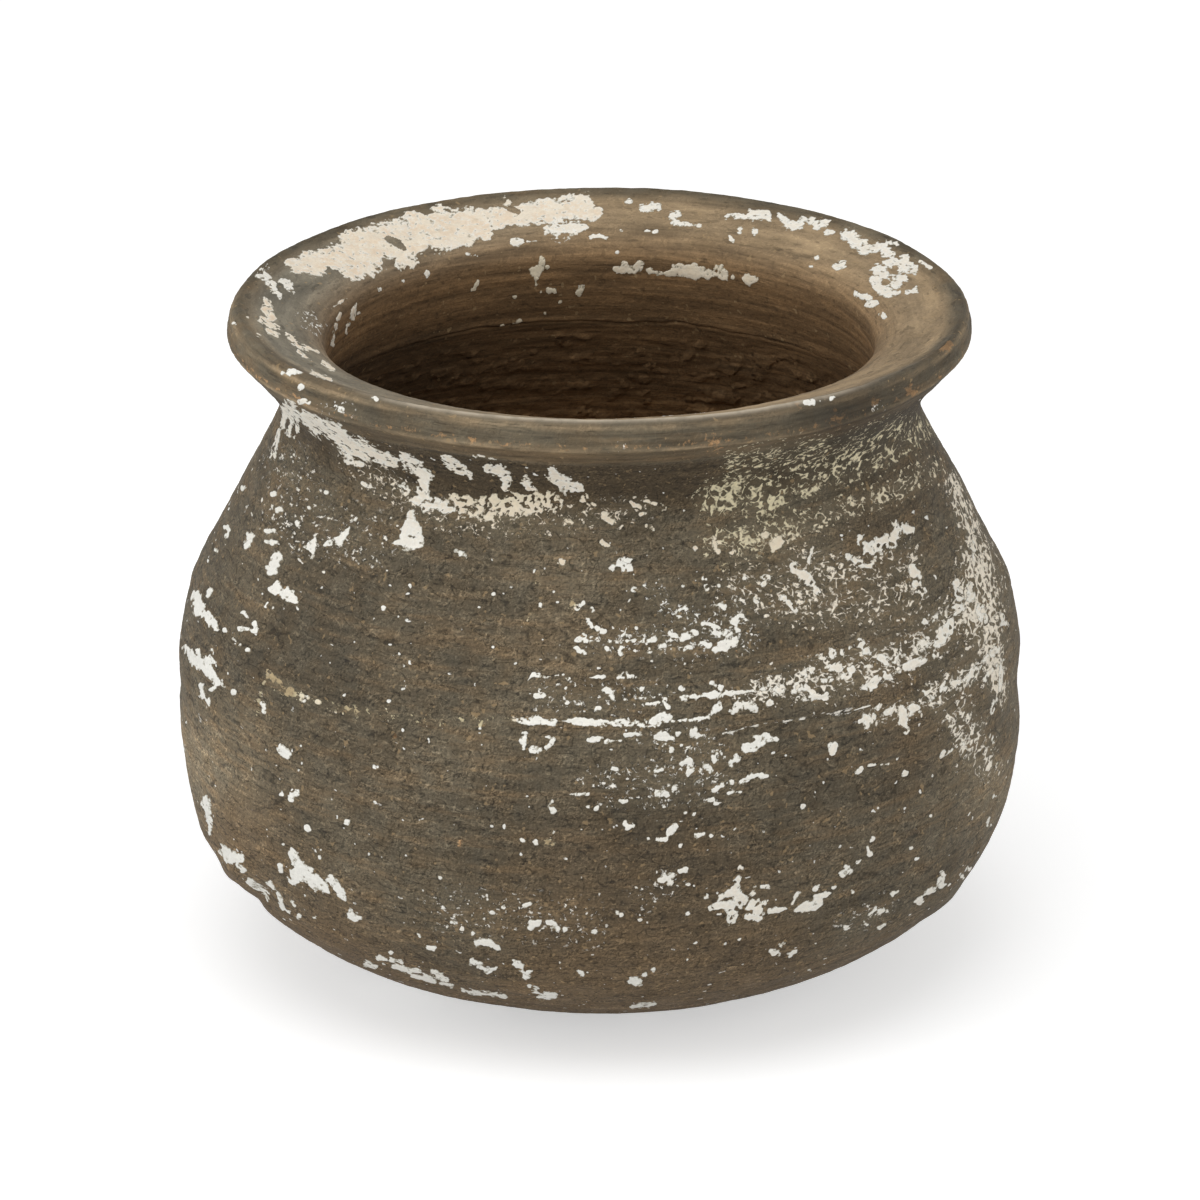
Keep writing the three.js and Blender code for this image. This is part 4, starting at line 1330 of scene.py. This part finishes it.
flakes("limewash_foot", outer_s(LOWEST_FLAKES_Z), outer_s(FLANK_Z))
flakes("limewash_belly", outer_s(FLANK_Z), strip_low_s)
flakes("limewash_rings", strip_low_s, outer_s(KNEE_Z))
flakes("limewash_shoulder", outer_s(KNEE_Z), outer_s(SHOULDER_Z))
flakes("limewash_neck", outer_s(SHOULDER_Z), outer_s(LIP_Z))
flakes("limewash_mouth", outer_s(LIP_Z), CREST_S + FLAKES_INSIDE)


# Materials
class Recipe:
    """Nodes of one material, with lengths in millimetres."""

    def __init__(self, name):
        self.material = bpy.data.materials.new(name)
        self.material.use_nodes = True
        self.tree = self.material.node_tree
        self.shader = self.tree.nodes["Principled BSDF"]
        place = self.tree.nodes.new("ShaderNodeTexCoord").outputs["Object"]
        self.place = self.scaled(place, (1 / MM, 1 / MM, 1 / MM))
        attribute = self.tree.nodes.new("ShaderNodeAttribute")
        attribute.attribute_name = "flat"
        self.flat = attribute.outputs["Vector"]

    def plug(self, socket, value):
        if isinstance(value, bpy.types.NodeSocket):
            self.tree.links.new(value, socket)
        else:
            socket.default_value = value

    def scaled(self, vector, factors):
        node = self.tree.nodes.new("ShaderNodeVectorMath")
        node.operation = "MULTIPLY"
        self.plug(node.inputs[0], vector)
        self.plug(node.inputs[1], factors)
        return node.outputs[0]

    def moved(self, vector, shift):
        node = self.tree.nodes.new("ShaderNodeVectorMath")
        node.operation = "ADD"
        self.plug(node.inputs[0], vector)
        self.plug(node.inputs[1], shift)
        return node.outputs[0]

    def lumps(self, size, shift, detail=2.0, roughness=0.5):
        """Noise less the same noise further on: above 0 on one side of each lump, below 0 on the other."""
        here = self.noise(size, detail, roughness)
        further = self.noise(size, detail, roughness, at=self.moved(self.place, shift))
        return self.less(here, further)

    def noise(self, size, detail=2.0, roughness=0.5, stretch=1.0, distortion=0.0, at=None):
        node = self.tree.nodes.new("ShaderNodeTexNoise")
        self.plug(node.inputs["Vector"], self.scaled(at or self.place, (1 / stretch, 1 / stretch, 1.0)))
        self.plug(node.inputs["Scale"], 1 / size)
        self.plug(node.inputs["Detail"], detail)
        self.plug(node.inputs["Roughness"], roughness)
        self.plug(node.inputs["Distortion"], distortion)
        return node.outputs["Fac"]

    def winding(self, size, shift, stretch=1.0):
        """0 on fine winding lines and more between them."""
        field = self.noise(size, 1, 0.5, stretch, 0.6, self.moved(self.flat, shift))
        return self.maths("ABSOLUTE", self.less(field, 0.5))

    def mark(self, name):
        node = self.tree.nodes.new("ShaderNodeAttribute")
        node.attribute_name = name
        return node.outputs["Fac"]

    def fit(self, value, low, high, to_low=0.0, to_high=1.0):
        node = self.tree.nodes.new("ShaderNodeMapRange")
        for socket, number in zip(node.inputs, (value, low, high, to_low, to_high)):
            self.plug(socket, number)
        return node.outputs[0]

    def maths(self, operation, first, second=0.0):
        node = self.tree.nodes.new("ShaderNodeMath")
        node.operation = operation
        self.plug(node.inputs[0], first)
        self.plug(node.inputs[1], second)
        return node.outputs[0]

    def times(self, first, second):
        return self.maths("MULTIPLY", first, second)

    def plus(self, first, second):
        return self.maths("ADD", first, second)

    def less(self, first, second):
        return self.maths("SUBTRACT", first, second)

    def more(self, first, second):
        return self.maths("MAXIMUM", first, second)

    def mix(self, share, first, second, way="MIX"):
        node = self.tree.nodes.new("ShaderNodeMix")
        node.data_type = "RGBA"
        node.blend_type = way
        node.clamp_factor = True
        self.plug(node.inputs["Factor"], share)
        self.plug(node.inputs[6], first)
        self.plug(node.inputs[7], second)
        return node.outputs[2]

    def grey(self, value):
        node = self.tree.nodes.new("ShaderNodeCombineColor")
        for socket in node.inputs:
            self.plug(socket, value)
        return node.outputs[0]

    def bump(self, height, depth, strength=1.0):
        node = self.tree.nodes.new("ShaderNodeBump")
        self.plug(node.inputs["Strength"], strength)
        self.plug(node.inputs["Distance"], depth * MM)
        self.plug(node.inputs["Height"], height)
        self.plug(self.shader.inputs["Normal"], node.outputs[0])


WHITE = (1, 1, 1, 1)
GREY_CLAY = (0.092, 0.076, 0.050, 1)
PALE_CLAY = (0.138, 0.113, 0.074, 1)
WARM_CLAY = (0.124, 0.084, 0.045, 1)
# Darker clay of the neck with painted shade from the lip in it
NECK_CLAY_IN_SHADE = (0.060, 0.043, 0.024, 1)
# Paler worn clay with painted highlight in it, for the lip's edges
WORN_CLAY_WITH_HIGHLIGHT = (0.310, 0.230, 0.138, 1)
# Pale colour of the painted highlight on the crest
CREST_HIGHLIGHT = (0.520, 0.445, 0.340, 1)
BARE_CLAY = (0.340, 0.205, 0.100, 1)
FLARE_CLAY = (0.290, 0.210, 0.122, 1)
ASH_CLAY = (0.200, 0.176, 0.130, 1)
THROAT_CLAY = (0.180, 0.106, 0.048, 1)
FILM = (0.260, 0.226, 0.150, 1)
CHALK_WHITE = (0.870, 0.855, 0.795, 1)
CHALK_CREAM = (0.820, 0.715, 0.560, 1)
CHALK_PINK = (0.780, 0.600, 0.420, 1)
CHALK_YELLOW = (0.660, 0.590, 0.380, 1)
CHALK_TAN = (0.360, 0.250, 0.130, 1)


def chalk(make):
    """Colour of the limewash, from white by cream and yellow to tan."""
    tint = make.mark("tint")
    colour = make.mix(make.fit(tint, 0, 1), CHALK_WHITE, CHALK_CREAM)
    colour = make.mix(make.fit(tint, 1, 2), colour, CHALK_YELLOW)
    return make.mix(make.fit(tint, 2, 3), colour, CHALK_TAN)


def spattered(make, pattern, amount):
    """1 on the specks that leave about that share of the clay covered, 0 between them."""
    above = make.less(pattern, make.fit(amount, 0, 1, 0.62, 0.38))
    return make.times(make.fit(above, 0.0, 0.055), make.fit(amount, 0.0, 0.08))


class ClayNoise:
    """The noises that the clay's colour, shading and relief share."""

    def __init__(self, make):
        self.grain = make.noise(0.9, 3, 0.6)
        self.light_side = make.lumps(1.2, (0.2, 0.0, -0.28), 3, 0.6)
        self.strokes = make.noise(4, 3, 0.6, stretch=7)
        self.scratches = make.noise(0.8, 2, 0.5, stretch=9)
        self.lumps = make.noise(2.4, 1, 0.5)
        self.tone = make.noise(38, 3, 0.55)
        self.blotch = make.noise(9, 4, 0.6)
        self.wheel = make.noise(1.6, 3, 0.6, stretch=22)
        self.specks = make.noise(1.8, 4, 0.65, at=make.flat)
        self.curls = make.winding(3.0, (60, 0, 30))
        self.scores = make.winding(4.4, (20, 0, 80), 1.5)
        self.threads = make.winding(3.8, (40, 0, 10), 1.3)
        self.dashes = make.noise(1.2, 4, 0.65, stretch=3, at=make.flat)
        self.dots = make.noise(2.6, 1, 0.5, at=make.flat)
        self.pits = make.noise(3.0, 3, 0.6)
        self.patches = make.noise(6, 2, 0.5)
        self.turned = make.mark("turned")


def clay_colour(make, noises):
    """Colour of the clay, before its shading."""
    colour = make.mix(make.fit(noises.tone, 0.35, 0.65), GREY_CLAY, PALE_CLAY)
    colour = make.mix(make.times(make.mark("warm"), 0.85), colour, WARM_CLAY)
    colour = make.mix(make.fit(noises.blotch, 0.40, 0.75, 0.0, 0.5), colour, WARM_CLAY)
    colour = make.mix(make.fit(noises.strokes, 0.50, 0.66, 0.0, 0.6), colour, WARM_CLAY)
    # Darker clay and painted shade in the hollow under the lip
    colour = make.mix(make.times(make.mark("neck_dark_and_shade"), 0.95), colour, NECK_CLAY_IN_SHADE)
    colour = make.mix(make.mark("flare"), colour, FLARE_CLAY)
    colour = make.mix(make.mark("ash"), colour, ASH_CLAY)
    colour = make.mix(make.mark("throat"), colour, THROAT_CLAY)
    # Wear and painted highlight on the lip's edges
    worn_and_lit = make.times(make.mark("wear_and_highlight"), make.fit(noises.blotch, 0.40, 0.60, 0.35, 0.85))
    colour = make.mix(worn_and_lit, colour, WORN_CLAY_WITH_HIGHLIGHT)
    ragged = make.fit(noises.specks, 0.3, 0.7, -0.3, 0.3)
    opened = make.fit(make.plus(make.mark("bare"), ragged), 0.35, 0.50)
    return make.mix(opened, colour, BARE_CLAY)


def clay_shade(make, noises):
    """How light or dark the clay's grain, strokes, scratches and pits are, with painted light and shade on
    small lumps, in the pits inside and from the table of spots, 1 being as its colour says.
    """
    turned = noises.turned
    grainy = make.mix(turned, make.grey(make.fit(noises.grain, 0.30, 0.70, 0.66, 1.34)), WHITE)
    faint_streaks = make.grey(make.fit(noises.wheel, 0.3, 0.7, 0.82, 1.18))
    strong_streaks = make.grey(make.fit(noises.wheel, 0.3, 0.7, 0.66, 1.34))
    streaky = make.mix(turned, faint_streaks, strong_streaks)
    shade = make.times(grainy, streaky)
    dark_lines = make.fit(noises.scores, 0.012, 0.040, 0.55, 0.0)
    pale_lines = make.fit(noises.threads, 0.012, 0.036, 0.6, 0.0)
    scored = make.times(dark_lines, make.fit(noises.specks, 0.44, 0.52))
    pale = make.times(pale_lines, make.fit(noises.pits, 0.46, 0.54))
    marked = make.less(make.plus(1.0, pale), scored)
    marked = make.mix(make.times(turned, 0.7), make.grey(marked), WHITE)
    shade = make.times(shade, marked)
    # Painted light and painted shade on opposite sides of small lumps
    rough = make.times(make.fit(noises.patches, 0.40, 0.60, 1.0, 3.5), make.fit(turned, 0, 1, 1.0, 0.3))
    lump_light_and_shade = make.plus(make.times(noises.light_side, rough), 1.0)
    shade = make.times(shade, lump_light_and_shade)
    shade = make.times(shade, make.fit(noises.strokes, 0.3, 0.7, 0.78, 1.22))
    shade = make.times(shade, make.fit(noises.scratches, 0.62, 0.67, 1.0, 0.68))
    # Paler and darker spots, some of them painted sheen and painted shade
    shade = make.times(shade, make.plus(make.mark("paler_and_lit"), 1.0))
    # Painted shade in pits inside the pot
    pit_shade = make.times(make.fit(noises.pits, 0.34, 0.40, 0.32, 0.0), make.mark("throat"))
    return make.times(shade, make.less(1.0, pit_shade))


def clay_whitened(make, noises, amount):
    """1 where the finest specks, dashes and dots of limewash are, 0 on the clay between them."""
    lone = make.times(make.fit(noises.dots, 0.725, 0.745), make.fit(noises.blotch, 0.44, 0.48))
    lone = make.times(lone, make.fit(noises.turned, 0.0, 0.2, 1.0, 0.0))
    dense = make.fit(amount, 0.15, 0.35)
    worms = make.less(make.fit(noises.specks, 0, 1, 0.33, 0.78), noises.curls)
    pattern = make.mix(dense, noises.specks, worms)
    streaked = spattered(make, noises.dashes, make.mark("streaks"))
    whitened = make.more(spattered(make, pattern, amount), streaked)
    return make.more(whitened, lone)


def clay_material():
    make = Recipe("clay")
    noises = ClayNoise(make)
    grain, blotch, specks = noises.grain, noises.blotch, noises.specks
    shade = clay_shade(make, noises)
    colour = make.mix(1.0, clay_colour(make, noises), make.grey(shade), "MULTIPLY")
    lumpy = make.times(make.fit(noises.lumps, 0.68, 0.71), make.fit(blotch, 0.48, 0.52))
    colour = make.mix(make.times(lumpy, 0.5), colour, CHALK_TAN)
    # Painted highlight along the near side of the crest
    crest_highlight = make.times(make.mark("crest"), make.fit(blotch, 0.35, 0.55, 0.55, 0.95))
    colour = make.mix(crest_highlight, colour, CREST_HIGHLIGHT)
    amount = make.times(make.mark("specks"), make.fit(noises.patches, 0.35, 0.65, 0.7, 1.3))
    colour = make.mix(make.times(amount, 0.26), colour, FILM)
    whitened = clay_whitened(make, noises, amount)
    crumbly = make.times(make.fit(grain, 0.3, 0.7, 0.88, 1.10), make.fit(specks, 0.35, 0.60, 0.85, 1.10))
    crumbs = make.mix(1.0, chalk(make), make.grey(crumbly), "MULTIPLY")
    colour = make.mix(make.times(whitened, 0.95), colour, crumbs)
    make.plug(make.shader.inputs["Base Color"], colour)
    make.plug(make.shader.inputs["Roughness"], make.fit(blotch, 0.3, 0.7, 0.78, 0.95))
    make.shader.inputs["Specular IOR Level"].default_value = 0.3
    relief = make.plus(make.times(grain, 0.5), make.times(noises.wheel, 0.7))
    relief = make.plus(relief, specks)
    relief = make.plus(relief, make.times(whitened, 0.4))
    make.bump(relief, 0.4)
    return make.material


def limewash_material():
    make = Recipe("limewash")
    grain = make.noise(0.9, 3, 0.6)
    brush = make.noise(1.6, 3, 0.6, stretch=5)
    edge = make.noise(0.5, 2, 0.5)
    stain = make.noise(5, 4, 0.6)
    colour = chalk(make)
    body, tint = make.mark("body"), make.mark("tint")
    rim = make.times(make.fit(body, 0.2, 0.9, 0.8, 0.0), make.fit(stain, 0.35, 0.5))
    rim = make.times(rim, make.fit(tint, 0.8, 1.2, 1.0, 0.15))
    colour = make.mix(rim, colour, CHALK_WHITE)
    creamy = make.times(make.fit(tint, 0.7, 0.9), make.fit(tint, 1.05, 1.2, 0.6, 0.0))
    blush = make.times(make.fit(stain, 0.45, 0.60), creamy)
    colour = make.mix(make.times(blush, make.fit(body, 0.2, 0.5)), colour, CHALK_PINK)
    stained = make.times(make.fit(brush, 0.56, 0.72), make.fit(stain, 0.42, 0.60, 0.0, 0.35))
    colour = make.mix(stained, colour, FILM)
    shade = make.times(make.fit(grain, 0.25, 0.75, 0.90, 1.06), make.fit(brush, 0.3, 0.7, 0.94, 1.04))
    colour = make.mix(1.0, colour, make.grey(shade), "MULTIPLY")
    frayed = make.plus(body, make.fit(edge, 0.3, 0.7, -0.12, 0.12))
    colour = make.mix(make.fit(frayed, 0.0, 0.22, 0.85, 0.0), colour, FILM)
    make.plug(make.shader.inputs["Base Color"], colour)
    make.plug(make.shader.inputs["Roughness"], make.fit(grain, 0.3, 0.7, 0.88, 0.98))
    make.shader.inputs["Specular IOR Level"].default_value = 0.2
    make.bump(make.plus(grain, brush), 0.15)
    return make.material


clay_look = clay_material()
for obj in clay_pieces:
    obj.data.materials.append(clay_look)
limewash_look = limewash_material()
for obj in limewash_pieces:
    obj.data.materials.append(limewash_look)


# Studio
def seen_directly(tree):
    """1 for what the camera or a mirror-like surface shows of the studio, 0 for the light it sends out."""
    rays = tree.nodes.new("ShaderNodeLightPath")
    share = rays.outputs["Is Camera Ray"]
    for kind in ("Is Glossy Ray", "Is Transmission Ray"):
        either = tree.nodes.new("ShaderNodeMath")
        either.operation = "MAXIMUM"
        tree.links.new(share, either.inputs[0])
        tree.links.new(rays.outputs[kind], either.inputs[1])
        share = either.outputs[0]
    return share


# Floor of pale paper that glows where it is seen, so that the pot's shadow on it stays faint
FLOOR_RADIUS = 8
PAPER = (0.80, 0.80, 0.80, 1)
GLOW = 0.5
FLOOR_DROP = 0.1
FLOOR_SIDES = 128
bpy.ops.mesh.primitive_circle_add(vertices=FLOOR_SIDES, radius=FLOOR_RADIUS, fill_type="NGON")
floor = bpy.context.object
floor.name = "studio_floor"
floor.location.z = -FLOOR_DROP * MM
paper = Recipe("studio_paper")
paper.shader.inputs["Base Color"].default_value = PAPER
paper.shader.inputs["Roughness"].default_value = 0.95
paper.shader.inputs["Specular IOR Level"].default_value = 0.0
paper.shader.inputs["Emission Color"].default_value = WHITE
paper_glow = paper.times(seen_directly(paper.tree), GLOW)
paper.plug(paper.shader.inputs["Emission Strength"], paper_glow)
floor.data.materials.append(paper.material)

# Light
AMBIENT = 0.44
LAMPS_AIM = Vector((0, 0, 0.14))
world = bpy.data.worlds.new("studio")
bpy.context.scene.world = world
world.use_nodes = True
sky = world.node_tree
backdrop = sky.nodes["Background"]
backdrop.inputs["Color"].default_value = WHITE
level = sky.nodes.new("ShaderNodeMapRange")
level.inputs["To Min"].default_value = AMBIENT
level.inputs["To Max"].default_value = 1.0
sky.links.new(seen_directly(sky), level.inputs["Value"])
sky.links.new(level.outputs[0], backdrop.inputs["Strength"])


def softbox(name, place, size, power):
    lamp = bpy.data.lights.new(name, "AREA")
    lamp.shape = "DISK"
    lamp.size = size
    lamp.energy = power
    obj = bpy.data.objects.new(name, lamp)
    bpy.context.collection.objects.link(obj)
    obj.location = place
    aim = LAMPS_AIM - Vector(place)
    obj.rotation_euler = aim.to_track_quat("-Z", "Y").to_euler()


softbox("overhead", (-0.25, -0.7, 2.1), 2.0, 18)
softbox("left", (-2.2, -0.8, 1.2), 1.6, 14)
softbox("right", (2.2, -0.6, 1.0), 1.6, 10)
softbox("front", (-0.5, -2.4, 0.8), 1.6, 11)

# Camera
lens = bpy.data.cameras.new("camera")
lens.sensor_width = SENSOR
lens.lens = FOCAL / IMAGE * SENSOR
camera = bpy.data.objects.new("camera", lens)
bpy.context.collection.objects.link(camera)
camera.location = camera_place * MM
camera.rotation_euler = (math.pi / 2 - ELEVATION, 0, 0)
bpy.context.scene.camera = camera
bpy.context.scene.view_settings.view_transform = "Standard"
